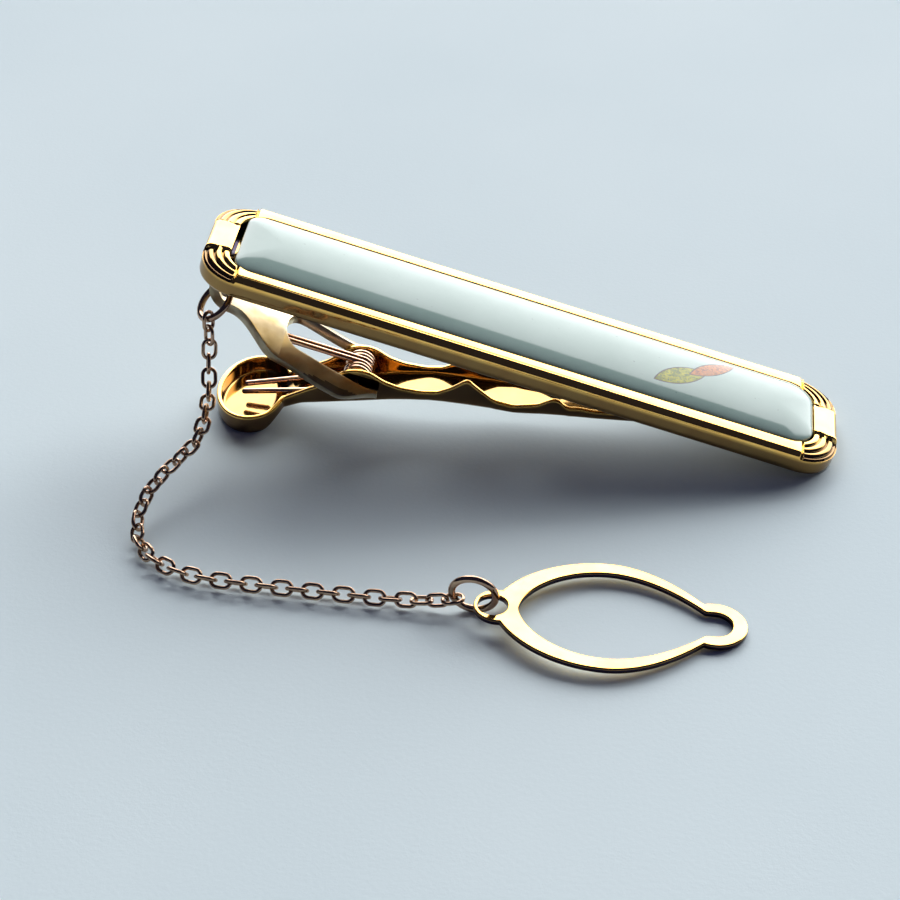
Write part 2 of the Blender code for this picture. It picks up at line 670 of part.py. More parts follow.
def button_loop(clip, finishes, crossing):
    """A stamped loop: a lug for the ring, a wide eye for a button and a narrow end to hold it."""
    outer, eye = loop_outlines()
    slope = math.asin(LUG_LIFT / outer[:, 0].max())
    blank = flat_prism("button_loop", outer, 0.0, LOOP_THICKNESS)
    made = add_object("button_loop", blank, finishes["gold"], clip)
    origin = Vector((crossing.x, crossing.y - LUG_SLACK, LUG_LIFT))
    turn = Matrix.Rotation(LOOP_TURN, 4, "Z") @ Matrix.Rotation(slope, 4, "Y")
    made.matrix_local = Matrix.Translation(origin) @ turn
    turn = np.linspace(0.0, math.tau, ROUND_SIDES, endpoint=False)
    hole = LUG_HOLE * np.column_stack([np.cos(turn), np.sin(turn)])
    for name, outline in (("lug_hole_cutter", hole), ("eye_cutter", eye)):
        tool = cutter(name, flat_prism(name, outline, -LOOP_THICKNESS, 2 * LOOP_THICKNESS), made)
        cut(made, tool)


# ---------------------------------------------------------------- assembly


def centre_on_origin(clip):
    """Moves the whole clip so that the box round it stands on the origin."""
    bpy.context.view_layer.update()
    graph = bpy.context.evaluated_depsgraph_get()
    points = []
    for piece in clip.children_recursive:
        if piece.type != "EMPTY" and not piece.hide_render:
            evaluated = piece.evaluated_get(graph)
            mesh = evaluated.to_mesh()
            points += [evaluated.matrix_world @ vertex.co for vertex in mesh.vertices]
            evaluated.to_mesh_clear()
    points = np.array(points)
    low, high = points.min(axis=0), points.max(axis=0)
    clip.location = (-(low[0] + high[0]) / 2, -(low[1] + high[1]) / 2, -low[2])


clear_scene()
finishes = {
    "gold": material("gold_plate", (0.86, 0.68, 0.40), 0.12, 1.0),
    "steel": material("gilt_wire", (0.62, 0.47, 0.33), 0.2, 1.0),
    "enamel": material("celadon_enamel", (0.42, 0.55, 0.54), 0.08, 0.0),
}
clip = empty("tie_clip", Matrix.Identity(4))
bar = empty("bar", BAR_BACK, clip)
bar_pieces(bar, finishes)
bracket(bar, finishes)
hinge_pin(bar, finishes)
hinge = jaw(clip, finishes)
spring(hinge, finishes)
ring_bottom = bar_ring(clip, finishes)
last_bend = chain(clip, finishes, np.array(ring_bottom))
crossing = end_ring(clip, finishes, last_bend)
button_loop(clip, finishes, crossing)
centre_on_origin(clip)
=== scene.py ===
import math

import bmesh
import bpy
import numpy as np
from mathutils import Matrix, Vector


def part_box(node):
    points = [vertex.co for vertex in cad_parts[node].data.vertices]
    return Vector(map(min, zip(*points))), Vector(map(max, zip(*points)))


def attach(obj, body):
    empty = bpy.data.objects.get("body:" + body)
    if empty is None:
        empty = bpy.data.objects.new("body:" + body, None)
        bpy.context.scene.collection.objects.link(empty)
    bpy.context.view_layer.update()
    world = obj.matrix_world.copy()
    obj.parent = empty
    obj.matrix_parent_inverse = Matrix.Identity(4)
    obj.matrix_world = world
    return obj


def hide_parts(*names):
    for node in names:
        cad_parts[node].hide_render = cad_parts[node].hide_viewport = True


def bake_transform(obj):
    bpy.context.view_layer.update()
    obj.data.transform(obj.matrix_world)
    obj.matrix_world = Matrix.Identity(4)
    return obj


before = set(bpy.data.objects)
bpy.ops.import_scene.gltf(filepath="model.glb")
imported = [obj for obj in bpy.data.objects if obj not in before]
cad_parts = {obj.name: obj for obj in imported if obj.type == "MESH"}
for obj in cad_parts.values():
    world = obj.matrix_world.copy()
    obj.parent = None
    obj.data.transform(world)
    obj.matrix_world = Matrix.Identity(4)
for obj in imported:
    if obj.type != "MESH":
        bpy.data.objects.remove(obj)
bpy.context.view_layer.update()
MM = 0.001

# ---- The table, the light and the camera
# The clip lies on a plain sheet of pale blue-grey card, beside one wide window.
# The window is behind the clip and low, the rest of the room is dark, so that polished
# metal turns from cream to navy within a few degrees.
TABLE_SIZE = 3.0
CARD = (0.83, 0.95, 0.98)
CARD_DEEP = (0.75, 0.88, 0.92)
WINDOW = (5.4, 5.4, 5.45)
WINDOW_AZIMUTH = math.radians(12.0)
WINDOW_SIDE_FADE = (math.radians(54), math.radians(36))
WINDOW_TOP_FADE = (math.sin(math.radians(48)), math.sin(math.radians(45)))
ROOM = (0.02, 0.022, 0.05)
BACKDROP = (0.74, 0.80, 0.85)
CAMERA_AT = Vector((14.870, -150.112, 116.020)) * MM
CAMERA_AIM = Vector((-4.170, 8.438, 0.0)) * MM
CAMERA_LENS = 92.0


def placed(name, data):
    """A new object of this data, in the scene."""
    made = bpy.data.objects.new(name, data)
    bpy.context.scene.collection.objects.link(made)
    return made


def new_material(name):
    """An empty node material, its nodes and its links."""
    made = bpy.data.materials.new(name)
    made.use_nodes = True
    made.node_tree.nodes.clear()
    return made, made.node_tree.nodes, made.node_tree.links


def add(nodes, kind, **values):
    """One node, with its properties set by name and its inputs by their labels."""
    node = nodes.new(kind)
    for name, value in values.items():
        if hasattr(node, name):
            setattr(node, name, value)
        else:
            node.inputs[name.replace("_", " ")].default_value = value
    return node


def mix_colour(nodes, links, factor, low, high):
    """A colour mix, low where the factor is 0 and high where it is 1. The factor is a socket, and a colour
    is a socket or three numbers."""
    node = nodes.new("ShaderNodeMix")
    node.data_type = "RGBA"
    links.new(factor, node.inputs[0])
    for index, value in ((6, low), (7, high)):
        if isinstance(value, bpy.types.NodeSocket):
            links.new(value, node.inputs[index])
        else:
            node.inputs[index].default_value = (*value, 1.0)
    return node.outputs[2]


def table_material():
    """Matt card: a broad cloud between two near colours, and a fine fibre as bump."""
    made, nodes, links = new_material("pale_card")
    place = add(nodes, "ShaderNodeTexCoord")
    wide = add(nodes, "ShaderNodeTexNoise", Scale=14.0, Detail=3.0)
    fibre = add(nodes, "ShaderNodeTexNoise", Scale=2600.0, Detail=4.0, Roughness=0.7)
    for noise in (wide, fibre):
        links.new(place.outputs["Object"], noise.inputs["Vector"])
    cloud = add(nodes, "ShaderNodeMapRange", From_Min=0.3, From_Max=0.7)
    links.new(wide.outputs["Fac"], cloud.inputs["Value"])
    shader = add(nodes, "ShaderNodeBsdfPrincipled", Roughness=0.72)
    shader.inputs["Specular IOR Level"].default_value = 0.25
    colour = mix_colour(nodes, links, cloud.outputs["Result"], CARD_DEEP, CARD)
    links.new(colour, shader.inputs["Base Color"])
    bump = add(nodes, "ShaderNodeBump", Strength=0.25, Distance=0.00006)
    links.new(fibre.outputs["Fac"], bump.inputs["Height"])
    links.new(bump.outputs["Normal"], shader.inputs["Normal"])
    out = add(nodes, "ShaderNodeOutputMaterial")
    links.new(shader.outputs["BSDF"], out.inputs["Surface"])
    return made


table_mesh = bpy.data.meshes.new("table")
half = TABLE_SIZE / 2
corners = [(-half, -half, 0), (half, -half, 0), (half, half, 0), (-half, half, 0)]
table_mesh.from_pydata(corners, [], [(0, 1, 2, 3)])
table = placed("table", table_mesh)
table_mesh.materials.append(table_material())


def light_room():
    """The world: a window's glow where a direction is near its azimuth and below its top, and dark
    elsewhere. Both limits are smooth steps. To the camera itself the world is a pale backdrop."""
    world = bpy.data.worlds.new("room")
    world.use_nodes = True
    nodes, links = world.node_tree.nodes, world.node_tree.links
    nodes.clear()
    place = add(nodes, "ShaderNodeTexCoord")
    split = add(nodes, "ShaderNodeSeparateXYZ")
    links.new(place.outputs["Generated"], split.inputs[0])
    flat = add(nodes, "ShaderNodeMath", operation="ARCTAN2")
    links.new(split.outputs["X"], flat.inputs[0])
    links.new(split.outputs["Y"], flat.inputs[1])
    offset = add(nodes, "ShaderNodeMath", operation="SUBTRACT")
    offset.inputs[1].default_value = WINDOW_AZIMUTH
    links.new(flat.outputs[0], offset.inputs[0])
    turned = add(nodes, "ShaderNodeMath", operation="ABSOLUTE")
    links.new(offset.outputs[0], turned.inputs[0])
    side = add(nodes, "ShaderNodeMapRange", interpolation_type="SMOOTHSTEP")
    side.inputs["From Min"].default_value, side.inputs["From Max"].default_value = WINDOW_SIDE_FADE
    links.new(turned.outputs[0], side.inputs["Value"])
    top = add(nodes, "ShaderNodeMapRange", interpolation_type="SMOOTHSTEP")
    top.inputs["From Min"].default_value, top.inputs["From Max"].default_value = WINDOW_TOP_FADE
    links.new(split.outputs["Z"], top.inputs["Value"])
    shape = add(nodes, "ShaderNodeMath", operation="MULTIPLY")
    links.new(side.outputs["Result"], shape.inputs[0])
    links.new(top.outputs["Result"], shape.inputs[1])
    room = mix_colour(nodes, links, shape.outputs[0], ROOM, WINDOW)
    rays = add(nodes, "ShaderNodeLightPath")
    seen = mix_colour(nodes, links, rays.outputs["Is Camera Ray"], room, BACKDROP)
    glow = add(nodes, "ShaderNodeBackground")
    links.new(seen, glow.inputs["Color"])
    out = add(nodes, "ShaderNodeOutputWorld")
    links.new(glow.outputs[0], out.inputs["Surface"])
    bpy.context.scene.world = world


light_room()
camera = placed("camera", bpy.data.cameras.new("camera"))
camera.data.lens = CAMERA_LENS
camera.data.sensor_width = 36.0
camera.data.clip_start = 0.005
camera.location = CAMERA_AT
camera.rotation_mode = "QUATERNION"
camera.rotation_quaternion = (CAMERA_AIM - CAMERA_AT).to_track_quat("-Z", "Y")
bpy.context.scene.camera = camera
bpy.context.scene.view_settings.view_transform = "Standard"


# ---- The bar's frame
# A cast frame with a polished gold-coloured plate. Its rail has a flat top and a rounded
# outer edge. Each corner has three beads that run round it, between a cross groove on the
# long side and a flat block at the end.
BAR_LENGTH = 56.0 * MM
BAR_WIDTH = 11.8 * MM
BAR_HEIGHT = 1.9 * MM
BAR_LEAN = math.radians(16.2)
BAR_CORNER = 3.4 * MM
SIDE_RIM = 1.6 * MM
END_RIM = 2.2 * MM
POCKET_CORNER = 2.4 * MM
POCKET_FLOOR = 0.9 * MM
EDGE_ROUND = 0.62 * MM
BLOCK_HALF = 2.0 * MM
BEADED_LENGTH = 3.1 * MM
BEADS = 3
BEADS_START = 0.3 * MM
BEAD_DEPTH = 0.3 * MM
BEAD_FALL = 0.3 * MM
BEAD_ENDS = (0.1 * MM, 0.08 * MM)
GROOVE_OFFSET = 0.14 * MM
GROOVE_DEPTH = 0.32 * MM
RAIL_CROWN = 0.05 * MM
INNER_FALL = 0.02 * MM
INNER_FALL_WIDTH = 0.14 * MM
# Shares of painted shade on the outer wall, on the pocket's walls and in the grooves between beads.
WALL_SHADE = 0.7
POCKET_SHADE = 0.35
GROOVE_SHADE = 0.8
GOLD = (0.96, 0.60, 0.165)
GOLD_WORN = (0.88, 0.50, 0.125)
# Painted shade: the near-black colour that plate goes towards where its mesh carries a shade.
PAINTED_SHADE_COLOUR = (0.025, 0.018, 0.035)


def grid_mesh(name, points, wrap_u=False, wrap_v=False, uv=None, shade=None):
    """A mesh through a grid of points, rows by columns, joined into quads. Rows or columns may wrap round.
    The shade, if given, says from 0 to 1 how much painted shade darkens the plate at each point."""
    rows, columns = points.shape[:2]
    index = np.arange(rows * columns).reshape(rows, columns)
    if wrap_u:
        index = np.concatenate([index, index[:1]])
    if wrap_v:
        index = np.concatenate([index, index[:, :1]], axis=1)
    quads = np.stack([index[:-1, :-1], index[1:, :-1], index[1:, 1:], index[:-1, 1:]], axis=-1).reshape(-1, 4)
    mesh = bpy.data.meshes.new(name)
    mesh.vertices.add(rows * columns)
    mesh.vertices.foreach_set("co", points.reshape(-1).astype(np.float32))
    mesh.loops.add(quads.size)
    mesh.loops.foreach_set("vertex_index", quads.reshape(-1).astype(np.int32))
    mesh.polygons.add(len(quads))
    mesh.polygons.foreach_set("loop_start", np.arange(0, quads.size, 4, dtype=np.int32))
    mesh.update(calc_edges=True)
    if uv is not None:
        layer = mesh.uv_layers.new(name="plan")
        corner_uv = uv.reshape(-1, 2)[quads.reshape(-1)]
        layer.data.foreach_set("uv", corner_uv.reshape(-1).astype(np.float32))
    if shade is not None:
        layer = mesh.attributes.new("shade", "FLOAT", "POINT")
        layer.data.foreach_set("value", shade.reshape(-1).astype(np.float32))
    mesh.polygons.foreach_set("use_smooth", np.ones(len(quads), bool))
    return mesh


def show(name, mesh, body, slot, material, *nodes_replaced):
    """Puts a finished mesh in the scene as a piece that rides on a body and stands for CAD nodes."""
    piece = placed(name, mesh)
    mesh.materials.clear()
    mesh.materials.append(material)
    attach(piece, body)
    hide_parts(*nodes_replaced)


def plate_wear_group():
    """Small differences in a plated surface: a cloudy warm tint, a fine haze and a low ripple."""
    group = bpy.data.node_groups.new("plate_wear", "ShaderNodeTree")
    face = group.interface
    for name in ("Bright", "Worn"):
        face.new_socket(name, in_out="INPUT", socket_type="NodeSocketColor")
    for name in ("Gloss", "Haze", "Ripple"):
        face.new_socket(name, in_out="INPUT", socket_type="NodeSocketFloat")
    for name, kind in (("Colour", "Color"), ("Roughness", "Float"), ("Normal", "Vector")):
        face.new_socket(name, in_out="OUTPUT", socket_type="NodeSocket" + kind)
    nodes, links = group.nodes, group.links
    given, out = add(nodes, "NodeGroupInput"), add(nodes, "NodeGroupOutput")
    place = add(nodes, "ShaderNodeTexCoord")
    cloud = add(nodes, "ShaderNodeTexNoise", Scale=420.0, Detail=3.0)
    fine = add(nodes, "ShaderNodeTexNoise", Scale=5200.0, Detail=2.0)
    for noise in (cloud, fine):
        links.new(place.outputs["Object"], noise.inputs["Vector"])
    soft = add(nodes, "ShaderNodeMapRange", From_Min=0.35, From_Max=0.7)
    links.new(cloud.outputs["Fac"], soft.inputs["Value"])
    colour = mix_colour(nodes, links, soft.outputs["Result"], given.outputs["Bright"], given.outputs["Worn"])
    links.new(colour, out.inputs["Colour"])
    haze = add(nodes, "ShaderNodeMath", operation="MULTIPLY_ADD")
    links.new(fine.outputs["Fac"], haze.inputs[0])
    links.new(given.outputs["Haze"], haze.inputs[1])
    links.new(given.outputs["Gloss"], haze.inputs[2])
    links.new(haze.outputs[0], out.inputs["Roughness"])
    bump = add(nodes, "ShaderNodeBump", Distance=0.00002)
    links.new(given.outputs["Ripple"], bump.inputs["Strength"])
    links.new(cloud.outputs["Fac"], bump.inputs["Height"])
    links.new(bump.outputs["Normal"], out.inputs["Normal"])
    return group


plate_wear = plate_wear_group()


def plated(name, bright=GOLD, worn=GOLD_WORN, gloss=0.05, haze=0.06, ripple=0.3):
    """Polished plate over brass, with the wear group's colour, roughness and ripple. Where the mesh has a
    shade, the colour goes towards a near-black painted shade."""
    made, nodes, links = new_material(name)
    wear = nodes.new("ShaderNodeGroup")
    wear.node_tree = plate_wear
    for label, colour in (("Bright", bright), ("Worn", worn)):
        wear.inputs[label].default_value = (*colour, 1)
    for label, value in (("Gloss", gloss), ("Haze", haze), ("Ripple", ripple)):
        wear.inputs[label].default_value = value
    shader = add(nodes, "ShaderNodeBsdfPrincipled", Metallic=1.0)
    shade = add(nodes, "ShaderNodeAttribute", attribute_name="shade")
    colour = mix_colour(nodes, links, shade.outputs["Fac"], wear.outputs["Colour"], PAINTED_SHADE_COLOUR)
    links.new(colour, shader.inputs["Base Color"])
    links.new(wear.outputs["Roughness"], shader.inputs["Roughness"])
    links.new(wear.outputs["Normal"], shader.inputs["Normal"])
    out = add(nodes, "ShaderNodeOutputMaterial")
    links.new(shader.outputs["BSDF"], out.inputs["Surface"])
    return made


frame_low, frame_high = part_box("bar_frame")
raised_end = frame_low.z + BAR_LENGTH * math.sin(BAR_LEAN)
bar_end = Vector((frame_low.x, (frame_low.y + frame_high.y) / 2, raised_end))
bar_place = Matrix.Translation(bar_end) @ Matrix.Rotation(BAR_LEAN, 4, "Y")


def moved(points, matrix):
    """Points, as an array whose last axis is x, y, z, carried by a matrix."""
    turn = np.array(matrix)
    return points @ turn[:3, :3].T + turn[:3, 3]


def plan_track(along_side, along_end, turns, length, width, corner):
    """Points round a rounded rectangle about the origin: for each quarter a half end, a corner arc and a
    half side. The arrays are shares from 0 to 1, so that rectangles with the same shares match point by
    point."""
    x, y = length / 2 - corner, width / 2 - corner
    angle = turns * math.pi / 2
    end = np.column_stack([np.full(len(along_end), length / 2), y * along_end])
    arc = np.column_stack([x + corner * np.cos(angle), y + corner * np.sin(angle)])
    side = np.column_stack([x * (1 - along_side), np.full(len(along_side), width / 2)])
    quarter = np.concatenate([end, arc[1:], side])
    half_turn = np.concatenate([quarter, quarter[-2::-1] * [-1, 1]])
    return np.concatenate([half_turn, half_turn[-2:0:-1] * [1, -1]])


def smooth_step(share):
    """Three times the share squared less twice its cube, with the share held between 0 and 1."""
    share = np.clip(share, 0.0, 1.0)
    return share * share * (3 - 2 * share)


def frame_tracks():
    """The bar's outline and its pocket's, matched point by point. The points are closer at the blocks' ends
    and towards the corners."""
    block_end = BLOCK_HALF / (BAR_WIDTH / 2 - BAR_CORNER)
    along_end = np.unique(np.concatenate([np.linspace(0, 1, 9)[:-1], block_end + np.linspace(-0.1, 0.1, 9)]))
    along_end = along_end[along_end < 0.999]
    along_side = np.linspace(0, 1, 26)[1:] ** 1.5
    turns = np.linspace(0, 1, 73)
    pocket = (BAR_LENGTH - 2 * END_RIM, BAR_WIDTH - 2 * SIDE_RIM)
    outer = plan_track(along_side, along_end, turns, BAR_LENGTH, BAR_WIDTH, BAR_CORNER)
    return outer, plan_track(along_side, along_end, turns, *pocket, POCKET_CORNER)


def carved_rail(flat, inset, height, rim):
    """The rail's heights once it is carved, and how deep each point lies between beads, from 0 to 1. A bead
    is half a circle across the rail, and the outer beads lie lower. A groove at each end of the beads is a
    bell curve of power four. Elsewhere the top has a parabola's crown, and its inner edge falls by a smooth
    step."""
    from_end, aside = BAR_LENGTH / 2 - np.abs(flat[..., 0]), np.abs(flat[..., 1])
    beaded = smooth_step((BEADED_LENGTH - from_end) / BEAD_ENDS[0] + 0.5)
    beaded *= smooth_step((aside - BLOCK_HALF) / BEAD_ENDS[1] + 0.5)
    far = BAR_LENGTH
    block_groove = np.where(from_end < END_RIM, np.abs(aside - BLOCK_HALF - GROOVE_OFFSET), far)
    on_side = aside > 0.6 * BAR_WIDTH / 2
    side_groove = np.where(on_side, np.abs(from_end - BEADED_LENGTH - GROOVE_OFFSET), far)
    groove = np.exp(-(np.minimum(block_groove, side_groove) / (0.6 * GROOVE_OFFSET)) ** 4)
    share = np.clip((inset - BEADS_START) / (rim - BEADS_START), 0, 1)
    phase = np.mod(share * BEADS, 1.0)
    bead = BEAD_DEPTH * (1 - np.sqrt(np.clip(1 - (2 * phase - 1) ** 2, 0, 1)))
    bead *= smooth_step(inset / (0.35 * MM)) * (inset > BEADS_START)
    bead += BEAD_FALL * (1 - share) ** 1.5
    over_edge = smooth_step((height - (BAR_HEIGHT - EDGE_ROUND)) / (0.3 * MM))
    crown = RAIL_CROWN * (1 - (2 * (inset - EDGE_ROUND) / (rim - EDGE_ROUND) - 1) ** 2) * (inset > EDGE_ROUND)
    fall = INNER_FALL * smooth_step((inset - rim + INNER_FALL_WIDTH) / INNER_FALL_WIDTH)
    height = height - over_edge * (bead * beaded + GROOVE_DEPTH * groove) + crown * (1 - beaded) - fall
    return height, np.clip(bead / BEAD_DEPTH, 0, 1) * beaded * over_edge


def frame_points():
    """The frame in the bar's axes, and its painted shade, which darkens the outer wall, the grooves between
    beads and the pocket's walls. Each track point has a section that starts in the middle of the back, climbs
    the outer wall, turns over its round edge, crosses the top and drops to the pocket's floor."""
    outer, inner = frame_tracks()
    count = len(outer)
    rim = np.linalg.norm(inner - outer, axis=1)[:, None]
    inward = (inner - outer) / rim
    edge = np.linspace(0, math.pi / 2, 13)
    across_top = np.linspace(0, 1, 40)[1:]
    wall_inset = [0.25 * MM, 0.05 * MM, 0.0, 0.0, 0.0]
    wall_height = np.array([0.0, 0.0, 0.12, 0.35, 0.8]) * (BAR_HEIGHT - EDGE_ROUND)
    outside = np.tile(np.concatenate([wall_inset, EDGE_ROUND * (1 - np.cos(edge))]), (count, 1))
    inset = np.concatenate([outside, EDGE_ROUND + (rim - EDGE_ROUND) * across_top], axis=1)
    edge_height = BAR_HEIGHT - EDGE_ROUND * (1 - np.sin(edge))
    plain = np.concatenate([wall_height, edge_height, np.full(len(across_top), BAR_HEIGHT)])
    flat = outer[:, None] + inward[:, None] * inset[..., None]
    height, between_beads = carved_rail(flat, inset, np.tile(plain, (count, 1)), rim)

    inner_edge = height[:, -1:]
    pocket_wall = inner_edge + (POCKET_FLOOR - inner_edge) * np.array([0.5, 1.0])
    middle = np.column_stack([np.clip(inner[:, 0], -0.46 * BAR_LENGTH, 0.46 * BAR_LENGTH), np.zeros(count)])
    flat = np.concatenate([middle[:, None], flat, inner[:, None], inner[:, None], middle[:, None]], axis=1)
    floor = np.full((count, 1), POCKET_FLOOR)
    rise = np.concatenate([np.zeros((count, 1)), height, pocket_wall, floor], axis=1)
    points = np.concatenate([flat + [BAR_LENGTH / 2, 0], rise[..., None]], axis=-1)

    # Painted shade: the back and the outer wall below the round edge, the grooves between beads and the
    # pocket's walls, fully at the bar's ends, go towards the painted shade colour.
    outer_wall = 1 - smooth_step((height - (BAR_HEIGHT - EDGE_ROUND - 0.1 * MM)) / (0.15 * MM))
    wall_shade = np.clip(np.maximum(WALL_SHADE * outer_wall, GROOVE_SHADE * between_beads), 0, 1)
    at_end = np.abs(inner[:, :1]) > BAR_LENGTH / 2 - END_RIM - 0.3 * MM
    pocket_shade = np.tile(np.where(at_end, 1.0, POCKET_SHADE), (1, 3))
    return points, np.concatenate([np.full((count, 1), WALL_SHADE), wall_shade, pocket_shade], axis=1)


bar_gold = plated("polished_gold_plate", gloss=0.03, haze=0.05, ripple=0.2)
points, shade = frame_points()
mesh = grid_mesh("bar_rail", moved(points, bar_place), wrap_u=True, shade=shade)
show("bar_rail", mesh, "bar", "gold_plate", bar_gold, "bar_frame")


# ---- The enamel panel
# A long pane of pale celadon enamel, domed and polished, that fills the frame. Near its right
# end two leaves of bright foil lie under the glaze, one lime and one copper, with dark edges.
PANEL_LEFT = 2.75 * MM
PANEL_RIGHT = 53.65 * MM
PANEL_WIDTH = 8.5 * MM
PANEL_CORNERS = (1.3 * MM, 2.3 * MM)
PANEL_EDGE_HEIGHT = 1.86 * MM
PANEL_DOME = 0.70 * MM
PANEL_UNDERSIDE = POCKET_FLOOR + 0.1 * MM
CELADON = (0.37, 0.51, 0.46)
CELADON_PALE = (0.43, 0.57, 0.52)
SPECK = (0.16, 0.22, 0.22)
FOIL_EDGE = (0.05, 0.03, 0.01)
# Each leaf has its tip, stem and half width in millimetres from the bar's left end, and its foil's own
# colour, dark and light, between which its cells vary as painted glints.
LEAVES = (
    ((39.2, -2.4), (43.9, 0.8), 1.05, (0.09, 0.15, 0.0), (0.52, 0.50, 0.0)),
    ((42.2, -0.4), (46.4, 3.4), 0.8, (0.24, 0.06, 0.005), (0.60, 0.18, 0.01)),
)


def panel_points():
    """Rings that shrink from the panel's plan onto a line along its middle. The height is the edge's plus
    the dome's times a power of one minus a power of the ring's size, which is steep at the edge and gentle
    in the middle."""
    length = PANEL_RIGHT - PANEL_LEFT
    shares = (np.linspace(0, 1, 60)[1:], np.linspace(0, 1, 12)[:-1], np.linspace(0, 1, 25))
    left, right = [plan_track(*shares, length, PANEL_WIDTH, corner) for corner in PANEL_CORNERS]
    plan = np.where(left[:, :1] < 0, left, right)
    line_half = length / 2 - PANEL_WIDTH * 0.42
    line = np.column_stack([np.clip(plan[:, 0], -line_half, line_half), np.zeros(len(plan))])
    size = 1 - (1 - np.linspace(0, 1, 34)[::-1]) ** 1.6
    flat = line[:, None] + (plan - line)[:, None] * size[:, None]
    height = PANEL_EDGE_HEIGHT + PANEL_DOME * (1 - size**2.1) ** 0.62
    top = np.concatenate([flat, np.tile(height, (len(plan), 1))[..., None]], axis=-1)
    skirt = top[:, :1].copy()
    skirt[..., 2] = PANEL_UNDERSIDE
    bottom = np.concatenate([line[:, None], np.full((len(plan), 1, 1), PANEL_UNDERSIDE)], axis=-1)
    return np.concatenate([bottom, skirt, top], axis=1) + [PANEL_LEFT + length / 2, 0, 0]


def leaf_group():
    """How far a point is inside a leaf, which is where two discs overlap: the lesser of each disc's radius
    less the distance to its middle."""
    group = bpy.data.node_groups.new("leaf_shape", "ShaderNodeTree")
    face = group.interface
    face.new_socket("Point", in_out="INPUT", socket_type="NodeSocketVector")
    for name in ("Disc One", "Disc Two"):
        face.new_socket(name, in_out="INPUT", socket_type="NodeSocketVector")
    for name in ("Radius One", "Radius Two"):
        face.new_socket(name, in_out="INPUT", socket_type="NodeSocketFloat")
    face.new_socket("Inside", in_out="OUTPUT", socket_type="NodeSocketFloat")
    nodes, links = group.nodes, group.links
    given, out = add(nodes, "NodeGroupInput"), add(nodes, "NodeGroupOutput")
    depths = []
    for disc, radius in (("Disc One", "Radius One"), ("Disc Two", "Radius Two")):
        far = add(nodes, "ShaderNodeVectorMath", operation="DISTANCE")
        links.new(given.outputs["Point"], far.inputs[0])
        links.new(given.outputs[disc], far.inputs[1])
        depth = add(nodes, "ShaderNodeMath", operation="SUBTRACT")
        links.new(given.outputs[radius], depth.inputs[0])
        links.new(far.outputs["Value"], depth.inputs[1])
        depths.append(depth)
    least = add(nodes, "ShaderNodeMath", operation="MINIMUM")
    for index, depth in enumerate(depths):
        links.new(depth.outputs[0], least.inputs[index])
    links.new(least.outputs[0], out.inputs["Inside"])
    return group


leaf_shape = leaf_group()


def enamel_material():
    """Celadon glaze with a faint cloud and specks, and the two foil leaves under a clear gloss. The panel's
    own map gives millimetres along and across the bar. A leaf's discs have the radius that its chord and
    half width give."""
    made, nodes, links = new_material("celadon_enamel")
    plan = add(nodes, "ShaderNodeUVMap", uv_map="plan")
    place = add(nodes, "ShaderNodeTexCoord")
    cloud = add(nodes, "ShaderNodeTexNoise", Scale=160.0, Detail=4.0, Roughness=0.6)
    fine = add(nodes, "ShaderNodeTexNoise", Scale=2400.0, Detail=2.0)
    for noise in (cloud, fine):
        links.new(place.outputs["Object"], noise.inputs["Vector"])
    soft = add(nodes, "ShaderNodeMapRange", From_Min=0.3, From_Max=0.7)
    links.new(cloud.outputs["Fac"], soft.inputs["Value"])
    colour = mix_colour(nodes, links, soft.outputs["Result"], CELADON, CELADON_PALE)
    speck = add(nodes, "ShaderNodeMapRange", From_Min=0.72, From_Max=0.78, To_Max=0.5)
    links.new(fine.outputs["Fac"], speck.inputs["Value"])
    colour = mix_colour(nodes, links, speck.outputs["Result"], colour, SPECK)
    # The foil's own colour with painted glints: each Voronoi cell takes a flat tone between the leaf's dark
    # and light colour.
    foil = add(nodes, "ShaderNodeTexVoronoi", Scale=5500.0)
    links.new(place.outputs["Object"], foil.inputs["Vector"])
    painted_glint = add(nodes, "ShaderNodeSeparateColor")
    links.new(foil.outputs["Color"], painted_glint.inputs[0])
    for tip, stem, half_width, dark, light in LEAVES:
        along = Vector(stem) - Vector(tip)
        radius = (along.length_squared / 4 + half_width**2) / (2 * half_width)
        across = Vector((-along.y, along.x)).normalized() * (radius - half_width)
        middle = (Vector(stem) + Vector(tip)) / 2
        leaf = nodes.new("ShaderNodeGroup")
        leaf.node_tree = leaf_shape
        links.new(plan.outputs["UV"], leaf.inputs["Point"])
        leaf.inputs["Disc One"].default_value = (*(middle + across), 0)
        leaf.inputs["Disc Two"].default_value = (*(middle - across), 0)
        leaf.inputs["Radius One"].default_value = radius
        leaf.inputs["Radius Two"].default_value = radius
        edge = add(nodes, "ShaderNodeMapRange", From_Min=-0.02, From_Max=0.02)
        fill = add(nodes, "ShaderNodeMapRange", From_Min=0.09, From_Max=0.14)
        for ramp in (edge, fill):
            links.new(leaf.outputs["Inside"], ramp.inputs["Value"])
        sheet = mix_colour(nodes, links, painted_glint.outputs[0], dark, light)
        colour = mix_colour(nodes, links, edge.outputs["Result"], colour, FOIL_EDGE)
        colour = mix_colour(nodes, links, fill.outputs["Result"], colour, sheet)
    shader = add(nodes, "ShaderNodeBsdfPrincipled", Roughness=0.04)
    shader.inputs["IOR"].default_value = 1.42
    links.new(colour, shader.inputs["Base Color"])
    out = add(nodes, "ShaderNodeOutputMaterial")
    links.new(shader.outputs["BSDF"], out.inputs["Surface"])
    return made


points = panel_points()
mesh = grid_mesh("enamel_panel", moved(points, bar_place), wrap_u=True, uv=points[..., :2] / MM)
show("enamel_panel", mesh, "bar", "celadon_enamel", enamel_material(), "enamel_inlay")


